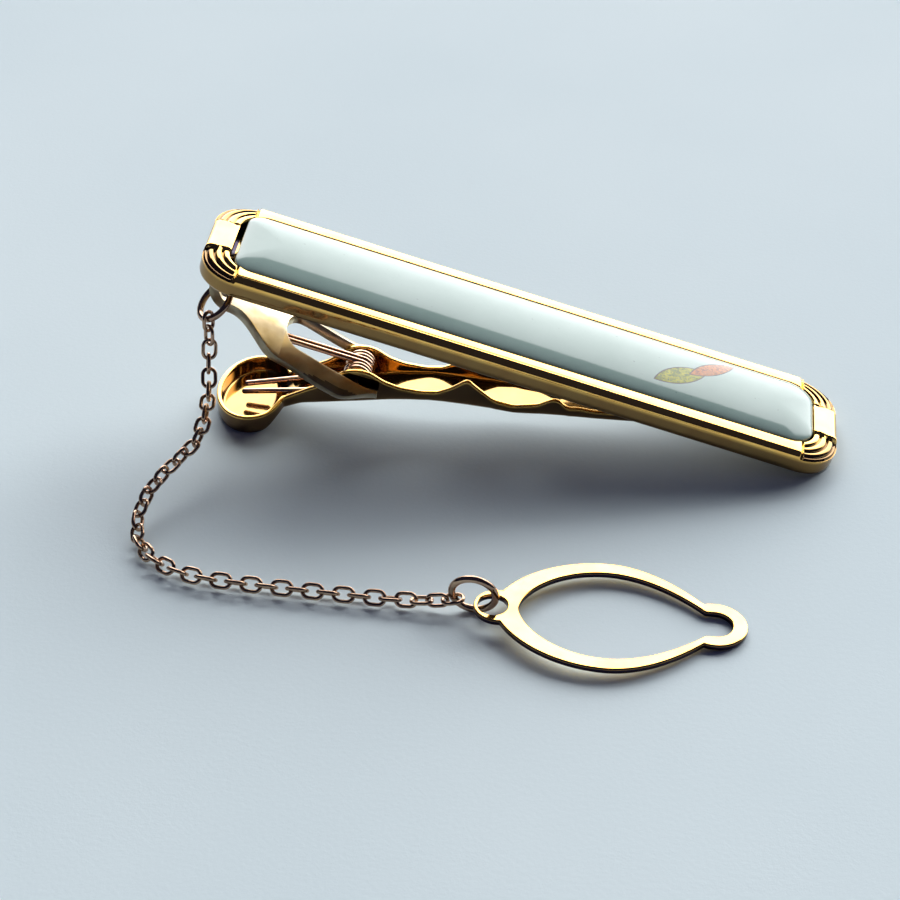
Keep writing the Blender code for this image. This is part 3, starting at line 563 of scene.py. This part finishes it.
# ---- The bracket
# One strip of plated steel, bent over at the bar's left end. Below the bend it widens and splits
# round a slot into two legs, whose dished tips hold the hinge pin. Its leaf is soldered to the bar's back.
STRIP = 0.85 * MM
BEND_RADIUS = 1.8 * MM
BEND_INSET = 3.4 * MM
SEAT_GAP = 0.3 * MM
LEAF_HEIGHT = -(SEAT_GAP + STRIP / 2)
BEND_HEIGHT = -(SEAT_GAP + STRIP / 2 + BEND_RADIUS)
LEAF_LENGTH = 10.0 * MM
NOSE_HALF = 1.3 * MM
LEG_HALF = 4.0 * MM
FLARE_START, FLARE_LENGTH = 0.35 * MM, 4.2 * MM
RAMP_SLOPE = math.tan(math.radians(11.0))
SLOT_START, SLOT_HALF, SLOT_NOSE = 5.0 * MM, 2.4 * MM, 0.16
LEG_REACH, LEG_FALL, LEG_LOWEST = 14.1 * MM, 1.45 * MM, 0.85
LEG_TIP_MIDDLE, LEG_TIP_SHARE = 2.85 * MM, 0.38
ARCH, ARCH_LENGTH = 0.085 / MM, 9.0 * MM
# Faces that turn across the bar more steeply than the slope get the second number as a share of painted
# shade.
SHEARED_SLOPE, SIDE_FACE_SHADE = 0.5, 0.6
LEG_PALE, LEG_MATT = (0.97, 0.84, 0.58), (0.62, 0.46, 0.22)
RING_HOLE, RING_HOLE_ANGLE = 0.92 * MM, math.radians(218.0)
SOLDER_MIDDLE, SOLDER_SINK, SOLDER_POWER = 8.4 * MM, 0.02 * MM, 0.4
SOLDER_HALF_LENGTH, SOLDER_HALF_WIDTH = 4.2 * MM, 1.05 * MM


def bracket_lines(along):
    """Height and half-widths of the strip's lower run. It ramps down, then falls by a sine squared along the
    legs. The outside flares by a smooth step and the slot opens by a quarter ellipse; both close in towards
    the tip."""
    share = np.clip((along - SLOT_START) / (LEG_REACH - SLOT_START), 0, 1)
    height = LEAF_HEIGHT - 2 * BEND_RADIUS - RAMP_SLOPE * np.minimum(along, SLOT_START)
    height = height - LEG_FALL * np.sin(math.pi / 2 * share / LEG_LOWEST) ** 2
    outer = NOSE_HALF + (LEG_HALF - NOSE_HALF) * smooth_step((along - FLARE_START) / FLARE_LENGTH)
    inner = SLOT_HALF * np.sqrt(1 - (1 - np.clip(share / SLOT_NOSE, 0, 1)) ** 2)
    tip = smooth_step((share - 1) / LEG_TIP_SHARE + 1)
    inner = inner + (LEG_TIP_MIDDLE - inner) * tip * 0.8
    outer = outer + (LEG_TIP_MIDDLE - outer) * tip * 0.9
    return height, inner, outer


def bracket_points():
    """The strip's middle surface in the bar's axes, for its near and far half, with rows along the strip and
    columns across. The legs arch down across their width by a share of the distance from the middle
    squared."""
    leaf_x = np.linspace(BEND_INSET + LEAF_LENGTH, BEND_INSET, 7)[:-1]
    angle = np.linspace(math.pi / 2, 1.5 * math.pi, 41)
    nose_share = np.linspace(0, 1, 12) ** 2 * SLOT_NOSE
    leg_share = np.concatenate([nose_share, np.linspace(SLOT_NOSE, 1, 56)[1:]])
    legs = SLOT_START + leg_share * (LEG_REACH - SLOT_START)
    along = np.concatenate([np.linspace(0, SLOT_START, 26)[1:-1], legs])
    low, inner, outer = bracket_lines(along)
    before = len(leaf_x) + len(angle)
    inner = np.concatenate([np.zeros(before), inner])[:, None]
    outer = np.concatenate([np.full(before, NOSE_HALF), outer])[:, None]
    arch = np.concatenate([np.zeros(before), ARCH * smooth_step(along / ARCH_LENGTH)])[:, None]
    bend_x, bend_z = BEND_INSET + BEND_RADIUS * np.cos(angle), BEND_HEIGHT + BEND_RADIUS * np.sin(angle)
    x = np.concatenate([leaf_x, bend_x, BEND_INSET + along])[:, None]
    z = np.concatenate([np.full(len(leaf_x), BEND_HEIGHT + BEND_RADIUS), bend_z, low])[:, None]
    across = inner + (outer - inner) * np.linspace(0, 1, 13)
    far = np.stack([np.broadcast_to(x, across.shape), across, z - arch * across**2], axis=-1)
    return far, far[:, ::-1] * [1, -1, 1]


def baked(shape, *modifiers):
    """The mesh of a mesh or a curve with modifiers applied, each given as (type, settings)."""
    carrier = placed("carrier", shape)
    for kind, settings in modifiers:
        modifier = carrier.modifiers.new(kind.lower(), kind)
        for name, value in settings.items():
            setattr(modifier, name, value)
    bpy.context.view_layer.update()
    made = bpy.data.meshes.new_from_object(carrier.evaluated_get(bpy.context.evaluated_depsgraph_get()))
    bpy.data.objects.remove(carrier)
    return made


def joined(name, *meshes, weld=1e-6):
    """One mesh of several, with points nearer than weld made one."""
    whole = bmesh.new()
    for part in meshes:
        whole.from_mesh(part)
    if weld:
        bmesh.ops.remove_doubles(whole, verts=whole.verts, dist=weld)
    made = bpy.data.meshes.new(name)
    whole.to_mesh(made)
    whole.free()
    return made


def stacked(outline, levels):
    """A closed shape through copies of an outline in the XY plane, each given as (size, height). A size of 0
    at either end closes it to a point."""
    flat = np.column_stack([outline, np.zeros(len(outline))])
    return np.stack([flat * size + [0, 0, height] for size, height in levels], axis=1)


def circle(radius, count):
    """Points evenly round a circle about the origin, in the plane."""
    turn = np.linspace(0, 2 * math.pi, count + 1)[:-1]
    return radius * np.column_stack([np.cos(turn), np.sin(turn)])


def drill(name, radius, length, matrix):
    """A round tool for one Boolean cut, to be removed after it."""
    points = stacked(circle(radius, 48), ((0, -length), (1, -length), (1, length), (0, length)))
    return placed(name, joined(name, grid_mesh(name, moved(points, matrix), wrap_u=True)))


def solder_points():
    """The solder between the strip's leaf and the bar's back, in the bar's axes. Its outline is a
    superellipse: a cosine and a sine, each to a power that squares its corners. It spreads from the bar down
    to the strip."""
    round_line = circle(1.0, 64)
    outline = np.sign(round_line) * np.abs(round_line) ** SOLDER_POWER
    outline = outline * [SOLDER_HALF_LENGTH, SOLDER_HALF_WIDTH]
    low = -SEAT_GAP - SOLDER_SINK
    levels = ((0, SOLDER_SINK), (0.9, SOLDER_SINK), (0.93, -SEAT_GAP / 2), (1, low), (0, low))
    return stacked(outline, levels) + [SOLDER_MIDDLE, 0, 0]


far_half, near_half = bracket_points()
strip_mesh = joined("strip", grid_mesh("far_leg", far_half), grid_mesh("near_leg", near_half))
hole_x = BEND_INSET + BEND_RADIUS * math.cos(RING_HOLE_ANGLE)
hole_z = BEND_HEIGHT + BEND_RADIUS * math.sin(RING_HOLE_ANGLE)
hole_turn = Matrix.Rotation(math.pi / 2 - RING_HOLE_ANGLE, 4, "Y")
ring_drill = drill("ring_drill", RING_HOLE, STRIP, Matrix.Translation((hole_x, 0, hole_z)) @ hole_turn)
strip_mesh = baked(
    strip_mesh,
    ("SOLIDIFY", {"thickness": STRIP, "offset": 0.0, "use_even_offset": True}),
    ("BOOLEAN", {"object": ring_drill, "operation": "DIFFERENCE"}),
    ("BEVEL", {"width": 0.07 * MM, "segments": 2, "limit_method": "ANGLE", "angle_limit": math.radians(50)}),
)
bpy.data.objects.remove(ring_drill)
solder_mesh = joined("solder", grid_mesh("solder_grid", solder_points(), wrap_u=True))
strip_mesh = joined("soldered_strip", strip_mesh, solder_mesh, weld=0)
# Painted shade on every face turned across the bar: the strip's cut sides and the solder's sides.
sheared = np.array([abs(face.normal.y) > SHEARED_SLOPE for face in strip_mesh.polygons])
shade = strip_mesh.attributes.new("shade", "FLOAT", "FACE")
shade.data.foreach_set("value", sheared * SIDE_FACE_SHADE)
strip_mesh.transform(bar_place)
strip_mesh.polygons.foreach_set("use_smooth", np.ones(len(strip_mesh.polygons), bool))
strip_plate = plated("bracket_plate", LEG_PALE, LEG_MATT, gloss=0.3, haze=0.04, ripple=0.1)
show("bracket_strip", strip_mesh, "bar", "gold_plate", strip_plate, "spring_bracket")


# ---- The jaw
# One sheet of plated steel, pressed into a shallow trough with a wavy upper edge. Its left end is
# a deep oval pad for the thumb. The ears beside the pin rise through the bracket's slot.
PIN_ALONG, PIN_DROP = 15.5 * MM, 7.4 * MM
PIVOT = bar_place @ Vector((PIN_ALONG, 0, -PIN_DROP))
JAW_SHEET = 0.42 * MM
JAW_REACH = 30.5 * MM
JAW_HALF = 2.12 * MM
JAW_TIP_CORNER = 1.2 * MM
PAD_RADII = np.array([3.3, 4.9]) * MM
PAD_OFFSET = 9.3 * MM
PAD_HEIGHT = 1.8 * MM
PAD_START = -20.0 * MM
NECK_TOP, NECK_FOOT = 1.2 * MM, 1.6 * MM
TIP_FALL = 0.2 * MM
TIP_HEIGHT = 0.75 * MM
OUTER_BEND, INNER_BEND, SHEARED_ROUND = 0.5 * MM, 0.25 * MM, 0.14 * MM
# Shares of painted shade: on the underside and the outer wall, and on the inner wall and the floor.
JAW_WALL_SHADE = 0.85
JAW_FLOOR_SHADE = 0.58
# The wavy upper edge and the underside between pad and tip, in millimetres from the pin.
JAW_TOP = (
    (-6.5, -2.05), (-4.2, -0.9), (-3.0, -0.35), (-1.8, 0.5), (-1.2, 1.05), (-0.4, 1.32), (0.6, 1.3),
    (1.4, 1.05), (2.5, 0.29), (3.8, -0.18), (5.6, -0.43), (7.1, -0.33), (8.3, 0.19), (9.7, 1.13),
    (10.5, 0.37), (12.0, -0.86), (13.6, -1.26), (15.7, -0.97), (16.9, -0.35), (17.5, -0.3),
    (18.3, -1.11), (19.2, -1.04), (20.6, -1.26), (26.5, -1.3),
)
JAW_BOTTOM = (
    (-6.4, -3.19), (-4.9, -2.6), (-3.2, -2.4), (0.0, -2.0), (3.0, -1.6), (6.2, -1.36), (9.6, -1.61),
    (13.9, -2.05), (27.5, -2.1),
)


def jaw_heights(x):
    """Top and underside of the jaw at a distance from the pin: straight between the listed points, then
    averaged over a short window to round the bends. The pad stands on the table and the tip meets the bar's
    back."""
    back = bar_end.z - math.tan(BAR_LEAN) * (PIVOT.x + JAW_REACH - bar_end.x) - PIVOT.z
    tip = back - SEAT_GAP / math.cos(BAR_LEAN)
    neck = PAD_RADII[0] - PAD_OFFSET
    table_level, rim = -PIVOT.z, PAD_HEIGHT - PIVOT.z
    top = [(PAD_START, rim), (neck - NECK_TOP, rim), *np.multiply(JAW_TOP, MM)]
    top += [(JAW_REACH - 0.6 * MM, tip), (JAW_REACH, tip - TIP_FALL)]
    low = [(PAD_START, table_level), (neck - NECK_FOOT, table_level), *np.multiply(JAW_BOTTOM, MM)]
    low += [(JAW_REACH, tip - TIP_HEIGHT)]
    window = np.linspace(-0.3, 0.3, 13) * MM
    near = np.clip(x[..., None] + window, PAD_START, JAW_REACH)
    return tuple(np.interp(near, *np.array(line).T).mean(axis=-1) for line in (top, low))


def jaw_plan():
    """Points round the jaw from above and the outward direction at each: an ellipse, a strip and a rounded
    tip."""
    join = math.asin(JAW_HALF / PAD_RADII[1])
    turn = np.linspace(join, 2 * math.pi - join, 97)
    pad = PAD_RADII * np.column_stack([np.cos(turn), np.sin(turn)]) - [PAD_OFFSET, 0]
    run = np.linspace(pad[-1, 0], JAW_REACH - JAW_TIP_CORNER, 190)[1:-1]
    side = np.column_stack([run, np.full(len(run), -JAW_HALF)])
    arc = np.linspace(-math.pi / 2, 0, 9)
    tip = JAW_TIP_CORNER * np.column_stack([np.cos(arc), np.sin(arc)])
    tip += [JAW_REACH - JAW_TIP_CORNER, JAW_TIP_CORNER - JAW_HALF]
    plan = np.concatenate([pad, side, tip, tip[::-1] * [1, -1], side[::-1] * [1, -1]])
    along = np.roll(plan, -1, axis=0) - np.roll(plan, 1, axis=0)
    out = np.column_stack([along[:, 1], -along[:, 0]]) / np.linalg.norm(along, axis=1)[:, None]
    return plan, out


def jaw_section(top, low):
    """How far inwards and how high each point of the sheet's section lies, from the underside round the
    outer bend, up the outer wall, over the sheared edge, down the inner wall and round the inner bend to the
    floor. The bends and the edge are arcs, made smaller where the wall is low."""
    tall = np.minimum(1.0, (top - low) / (1.2 * MM))
    outer_bend, inner_bend, edge = OUTER_BEND * tall, INNER_BEND * tall, SHEARED_ROUND * tall
    wall_foot, wall_top, floor_foot = low + outer_bend, top - edge, low + JAW_SHEET + inner_bend
    bend = np.linspace(0, math.pi / 2, 8)
    over = np.linspace(0, math.pi, 9)
    going_in = edge * (1 - np.cos(over))
    coming_down = JAW_SHEET - edge * (1 + np.cos(over))
    inset = [
        outer_bend * (1 - np.sin(bend)),
        np.zeros((len(top), 3)),
        np.where(over < math.pi / 2, going_in, coming_down),
        np.full((len(top), 3), JAW_SHEET),
        JAW_SHEET + inner_bend * (1 - np.cos(bend)),
    ]
    rise = [
        low + outer_bend * (1 - np.cos(bend)),
        wall_foot + (wall_top - wall_foot) * np.array([0.3, 0.6, 0.9]),
        wall_top + edge * np.sin(over),
        wall_top - (wall_top - floor_foot) * np.array([0.2, 0.5, 0.8]),
        floor_foot - inner_bend * np.sin(bend),
    ]
    return np.concatenate(inset, axis=1), np.concatenate(rise, axis=1)


def jaw_points():
    """The jaw about its pin, and its painted shade. Each plan point carries the sheet's section, which is
    joined to the middle of the underside and to the middle of the floor."""
    plan, out = jaw_plan()
    top, low = [height[:, None] for height in jaw_heights(plan[:, 0])]
    inset, rise = jaw_section(top, low)
    flat = plan[:, None] - out[:, None] * inset[..., None]
    middle_x = np.clip(plan[:, 0], -PAD_OFFSET, JAW_REACH - JAW_TIP_CORNER)
    middle = np.column_stack([middle_x, np.zeros(len(plan))])
    under = [middle + (flat[:, 0] - middle) * part for part in (0.0, 0.5)]
    floor = [middle + (flat[:, -1] - middle) * part for part in (0.75, 0.5, 0.25, 0.0)]
    flat = np.concatenate([np.stack(under, axis=1), flat, np.stack(floor, axis=1)], axis=1)
    under_level, floor_level = [np.column_stack([jaw_heights(part[:, 0])[1] for part in parts])
                                for parts in (under, floor)]
    rise = np.concatenate([under_level, rise, floor_level + JAW_SHEET], axis=1)
    # The first sixteen columns are the underside, the outer wall and half of the edge.
    outside = np.arange(rise.shape[1]) < 16
    # Painted shade: strong on the underside and the outer wall, weaker on the inner wall and the floor, and
    # fading to none at the top edge.
    shade_free_edge = smooth_step((rise - (top - 0.25 * MM)) / (0.15 * MM))
    shade = np.where(outside, JAW_WALL_SHADE, JAW_FLOOR_SHADE) * (1 - shade_free_edge)
    return np.concatenate([flat, rise[..., None]], axis=-1), shade


jaw_gold = plated("jaw_plate", gloss=0.05, haze=0.08, ripple=0.35)
points, shade = jaw_points()
mesh = grid_mesh("jaw_trough", points + np.array(PIVOT), wrap_u=True, shade=shade)
show("jaw_trough", mesh, "jaw", "gold_plate", jaw_gold, "jaw")


# ---- The hinge pin
# A plain steel pin with domed ends, seated in the two leg tips. The jaw's ears and both coils turn on it.
PIN_RADIUS = 0.28 * MM
PIN_SEAT = 0.25 * MM
WIRE_BRIGHT = (0.86, 0.58, 0.40)
WIRE_WORN = (0.70, 0.42, 0.30)


def tube_points(path, radius, closed, sides):
    """Rings of points about a path. Each ring is square to the path, and is turned from the one before it by
    the smallest turn. An open wire ends in a dome: rings that shrink by the cosine as they step out by the
    sine."""
    ahead = np.roll(path, -1, axis=0) - np.roll(path, 1, axis=0) if closed else np.gradient(path, axis=0)
    tangent = ahead / np.linalg.norm(ahead, axis=1)[:, None]
    normal = np.cross(tangent[0], [0.3, 0.5, 0.8])
    normals = [normal / np.linalg.norm(normal)]
    for step in tangent[1:]:
        normal = normals[-1] - step * (normals[-1] @ step)
        normals.append(normal / np.linalg.norm(normal))
    normals = np.array(normals)
    if closed:
        last = normals[-1] - tangent[0] * (normals[-1] @ tangent[0])
        slip = math.atan2(np.cross(normals[0], last) @ tangent[0], normals[0] @ last)
        back = -slip * np.arange(len(path)) / len(path)
        normals = normals * np.cos(back)[:, None] + np.cross(tangent, normals) * np.sin(back)[:, None]
    size = np.full(len(path), radius)
    if not closed:
        dome = np.linspace(math.pi / 2, 0, 6)[:-1]
        front = path[0] - tangent[0] * radius * np.sin(dome)[:, None]
        rear = (path[-1] + tangent[-1] * radius * np.sin(dome)[:, None])[::-1]
        path = np.concatenate([front, path, rear])
        size = np.pad(size, len(dome))
        size[:len(dome)], size[-len(dome):] = radius * np.cos(dome), radius * np.cos(dome)[::-1]
        normals, tangent = [np.pad(arrows, ((len(dome), len(dome)), (0, 0)), mode="edge")
                            for arrows in (normals, tangent)]
    binormals = np.cross(tangent, normals)
    spokes = circle(1.0, sides)
    spoke = normals[:, None] * spokes[:, :1] + binormals[:, None] * spokes[:, 1:]
    return path[:, None] + spoke * size[:, None, None]


spring_wire = plated("gilt_spring_wire", WIRE_BRIGHT, WIRE_WORN, gloss=0.08, haze=0.1)
leg_inside = bracket_lines(np.array([PIN_ALONG - BEND_INSET]))[1][0]
pin_half = leg_inside + PIN_SEAT - PIN_RADIUS
pin_path = np.array(PIVOT) + np.outer(np.linspace(-pin_half, pin_half, 5), [0, 1, 0])
mesh = grid_mesh("pin", tube_points(pin_path, PIN_RADIUS, False, 28), wrap_v=True)
show("pin", mesh, "bar", "gilt_wire", spring_wire, "hinge_pin")


# ---- The spring
# One wire wound into two coils on the pin. The long loop between them bears on the strip, just past
# the slot, and the two free ends lie in the jaw's pad.
SPRING_WIRE = 0.25 * MM
COIL_RADIUS, COIL_PITCH, COIL_START, COIL_TURNS = 1.08 * MM, 0.46 * MM, 0.27 * MM, 2
UPPER_LEG, UPPER_SLOPE = 7.6 * MM, math.radians(16.0)
LOWER_LEG, LOWER_SLOPE, LOWER_SPREAD = 10.4 * MM, math.radians(8.5), 0.6 * MM


def spring_path():
    """The far half is a straight leg, a helix that steps out by its pitch each turn, and a straight leg to
    the loop's middle. The near half is its mirror image."""
    start = math.pi / 2 - UPPER_SLOPE
    end = -math.pi / 2 + LOWER_SLOPE - 2 * math.pi * COIL_TURNS
    turns = np.linspace(end, start, 100)
    out = COIL_START + COIL_PITCH * (start - turns) / (2 * math.pi)
    coil = np.column_stack([COIL_RADIUS * np.cos(turns), out, COIL_RADIUS * np.sin(turns)])
    lower = coil[0] + LOWER_LEG * np.array([-math.cos(LOWER_SLOPE), 0, -math.sin(LOWER_SLOPE)])
    lower[1] = LOWER_SPREAD
    away = np.array([-math.cos(UPPER_SLOPE), 0, math.sin(UPPER_SLOPE)])
    upper_end = coil[-1] + UPPER_LEG * away
    round_off = np.linspace(0, math.pi / 2, 7)[1:]
    nose = upper_end + COIL_START * np.outer(np.sin(round_off) * 0.5, away)
    nose[:, 1] = COIL_START * np.cos(round_off)
    nose[-1, 1] = 0.0
    lower_leg = np.linspace(lower, coil[0], 24)[:-1]
    upper_leg = np.linspace(coil[-1], upper_end, 18)[1:]
    half = np.concatenate([lower_leg, coil, upper_leg, nose])
    return np.concatenate([half, half[-2::-1] * [1, -1, 1]])


wire = tube_points(spring_path() + np.array(PIVOT), SPRING_WIRE, False, 14)
mesh = grid_mesh("spring_wire", wire, wrap_v=True)
mesh.materials.append(spring_wire)
spring = placed("spring_wire", mesh)
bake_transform(spring)
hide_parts("torsion_spring")


# ---- The two jump rings
# Each is a turn of round wire whose ends meet in a fine gap. The first hangs in the bracket's hole,
# and the second stands on the table between the chain and the loop.
RING_RADIUS = 1.74 * MM
RING_WIRE = 0.29 * MM
RING_GAP = 0.035
BRONZE = (0.52, 0.36, 0.24)
BRONZE_WORN = (0.34, 0.21, 0.15)


def solid_points(node):
    """The corners of a CAD node's solid, as it lies at rest."""
    return np.array([vertex.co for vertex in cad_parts[node].data.vertices], float)


def axes_of(node):
    """A matrix at the middle of a CAD node, with X along its longest spread and Z along its least."""
    given = solid_points(node)
    middle = given.mean(axis=0)
    spread = np.linalg.eigh(np.cov((given - middle).T))[1]
    x, z = spread[:, 2], spread[:, 0]
    x = x if x[np.abs(x).argmax()] > 0 else -x
    z = z if z[2] > 0 else -z
    place = Matrix.Identity(4)
    for column, axis in enumerate((x, np.cross(z, x), z)):
        for row in range(3):
            place[row][column] = axis[row]
    place.translation = middle
    return place


bronze = plated("bronzed_wire", BRONZE, BRONZE_WORN, gloss=0.1, haze=0.12, ripple=0.4)
for node, split_at in (("bar_ring", 0.6), ("end_ring", 2.4)):
    turn = np.linspace(split_at + RING_GAP, split_at + 2 * math.pi - RING_GAP, 97)
    path = RING_RADIUS * np.column_stack([np.cos(turn), np.sin(turn), np.zeros(97)])
    wire = tube_points(moved(path, axes_of(node)), RING_WIRE, False, 20)
    mesh = grid_mesh(node + "_wire", wire, wrap_v=True)
    show(node + "_wire", mesh, node, "gilt_wire", bronze, node)


# ---- The chain
# Forty-two soldered links of fine round wire, each a stadium and each at right angles to the last.
# The chain hangs from the bar's ring, curls on the table and runs along to the second ring.
LINK_WIRE = 0.16 * MM
LINK_INNER_WIDTH = 0.76 * MM


def link_path(length):
    """A stadium's line about the origin, with its ends along X: half a circle, a straight, and both again
    turned half round."""
    bend = LINK_INNER_WIDTH / 2 + LINK_WIRE
    straight = length / 2 - LINK_WIRE - bend
    turn = np.linspace(-math.pi / 2, math.pi / 2, 13)
    right = bend * np.column_stack([np.cos(turn), np.sin(turn), 0 * turn]) + [straight, 0, 0]
    side = np.linspace([straight, bend, 0], [-straight, bend, 0], 5)[1:-1]
    return np.concatenate([right, side, -right, -side])


for node in sorted(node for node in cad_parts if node.startswith("chain_link")):
    place = axes_of(node)
    length = np.ptp(moved(solid_points(node), place.inverted())[:, 0])
    wire = tube_points(moved(link_path(length), place), LINK_WIRE, True, 12)
    mesh = grid_mesh(node + "_wire", wire, wrap_u=True, wrap_v=True)
    show(node + "_wire", mesh, node, "gilt_wire", bronze, node)


# ---- The button loop
# A flat stamping with a lug for the ring, a wide eye that passes a shirt button and a round end
# that holds it. Its edges are rolled over and its face is polished.
LOOP_THICKNESS = 0.5 * MM
LOOP_ROUND = 0.13 * MM
LOOP_STRIP = 1.3 * MM
LOOP_TURN = math.radians(2.0)
EYE_HALF, EYE_LEFT, EYE_RIGHT, EYE_BLUNT, EYE_TAPER = 5.05 * MM, 6.9 * MM, 7.6 * MM, 0.62, 1.9
LUG_RADIUS, LUG_SHIFT, LUG_HOLE, LUG_WEB, LUG_LIFT = 1.9 * MM, 0.4 * MM, 1.17 * MM, 0.85 * MM, 0.89 * MM
KNOB_RADIUS, KNOB_HOLE, KNOB_SHIFT = 2.55 * MM, 1.38 * MM, 0.75 * MM
NECK_HALF, NECK_OVERLAP = 1.95 * MM, 0.35 * MM


def loop_outlines():
    """The outer edge, the eye and the lug's hole. A left arch is a half-width times a power of one minus the
    share squared, and a right arch falls from the half-width by a power of the share. Discs end both
    outlines."""
    eye_middle = LUG_HOLE + LUG_WEB + EYE_LEFT
    neck = eye_middle + EYE_RIGHT
    knob = neck + KNOB_SHIFT

    def arch(x, half_width, reach, least):
        share = np.abs(x - eye_middle) / reach
        return np.where(share < 1, half_width - (half_width - least) * np.clip(share, 0, 1) ** EYE_TAPER, 0)

    def blunt(x, half_width, reach):
        return half_width * (1 - np.clip((eye_middle - x) / reach, 0, 1) ** 2) ** EYE_BLUNT

    def disc(x, middle, radius):
        return np.sqrt(np.clip(radius**2 - (x - middle) ** 2, 0, None))

    def closed(half_width, left, right, count):
        x = left + (right - left) * (1 - np.cos(np.linspace(0, math.pi, count))) / 2
        upper = np.column_stack([x, half_width(x)])[::-1]
        return np.concatenate([np.column_stack([x, -half_width(x)]), upper[1:-1]])

    def eye(x):
        body = np.where(x < eye_middle, blunt(x, EYE_HALF, EYE_LEFT), arch(x, EYE_HALF, EYE_RIGHT, KNOB_HOLE))
        slot = np.where((x >= neck) & (x <= knob), KNOB_HOLE, 0)
        return np.max([body, slot, np.where(x > knob, disc(x, knob, KNOB_HOLE), 0)], axis=0)

    def outer(x):
        wide = EYE_HALF + LOOP_STRIP
        right = arch(x, wide, EYE_RIGHT + NECK_OVERLAP, NECK_HALF)
        body = np.where(x < eye_middle, blunt(x, wide, eye_middle), right)
        return np.max([body, disc(x, LUG_SHIFT, LUG_RADIUS), disc(x, knob, KNOB_RADIUS)], axis=0)

    edge = closed(outer, LUG_SHIFT - LUG_RADIUS, knob + KNOB_RADIUS, 181)
    return edge, closed(eye, eye_middle - EYE_LEFT, knob + KNOB_HOLE, 141), circle(LUG_HOLE, 64)


def loop_mesh():
    """The outlines filled, given their thickness and a rolled edge, then turned, tilted so that the ring
    lifts the lug, and set on the CAD node's middle."""
    curve = bpy.data.curves.new("loop_plate", "CURVE")
    curve.dimensions = "2D"
    curve.fill_mode = "BOTH"
    curve.extrude = LOOP_THICKNESS / 2 - LOOP_ROUND
    curve.bevel_depth = LOOP_ROUND
    curve.bevel_resolution = 3
    curve.offset = -LOOP_ROUND
    outlines = loop_outlines()
    for outline in outlines:
        spline = curve.splines.new("POLY")
        spline.points.add(len(outline) - 1)
        weighted = np.column_stack([outline, np.zeros(len(outline)), np.ones(len(outline))])
        spline.points.foreach_set("co", weighted.reshape(-1).astype(np.float32))
        spline.use_cyclic_u = True
    made = baked(curve)
    level = np.array([abs(face.normal.z) > 0.999 for face in made.polygons])
    made.polygons.foreach_set("use_smooth", ~level)
    # Painted shade: none on the top face, rising over the upper rolled edge, full down the side and the lower
    # rolled edge, and none on the bottom face.
    height = np.array([vertex.co.z for vertex in made.vertices]) / LOOP_ROUND
    half = LOOP_THICKNESS / 2 / LOOP_ROUND
    shade = made.attributes.new("shade", "FLOAT", "POINT")
    shade.data.foreach_set("value", np.clip(half - height, 0, 1) * (height > 0.05 - half))
    tilt = math.asin(LUG_LIFT / outlines[0][:, 0].max())
    made.transform(Matrix.Rotation(LOOP_TURN, 4, "Z") @ Matrix.Rotation(tilt, 4, "Y"))
    points = np.array([vertex.co for vertex in made.vertices])
    middle = Vector((points.min(axis=0) + points.max(axis=0)) / 2)
    low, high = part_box("button_loop")
    made.transform(Matrix.Translation((low + high) / 2 - middle))
    return made


loop_gold = plated("loop_plate", gloss=0.06, haze=0.08, ripple=0.25)
show("loop_plate", loop_mesh(), "button_loop", "gold_plate", loop_gold, "button_loop")
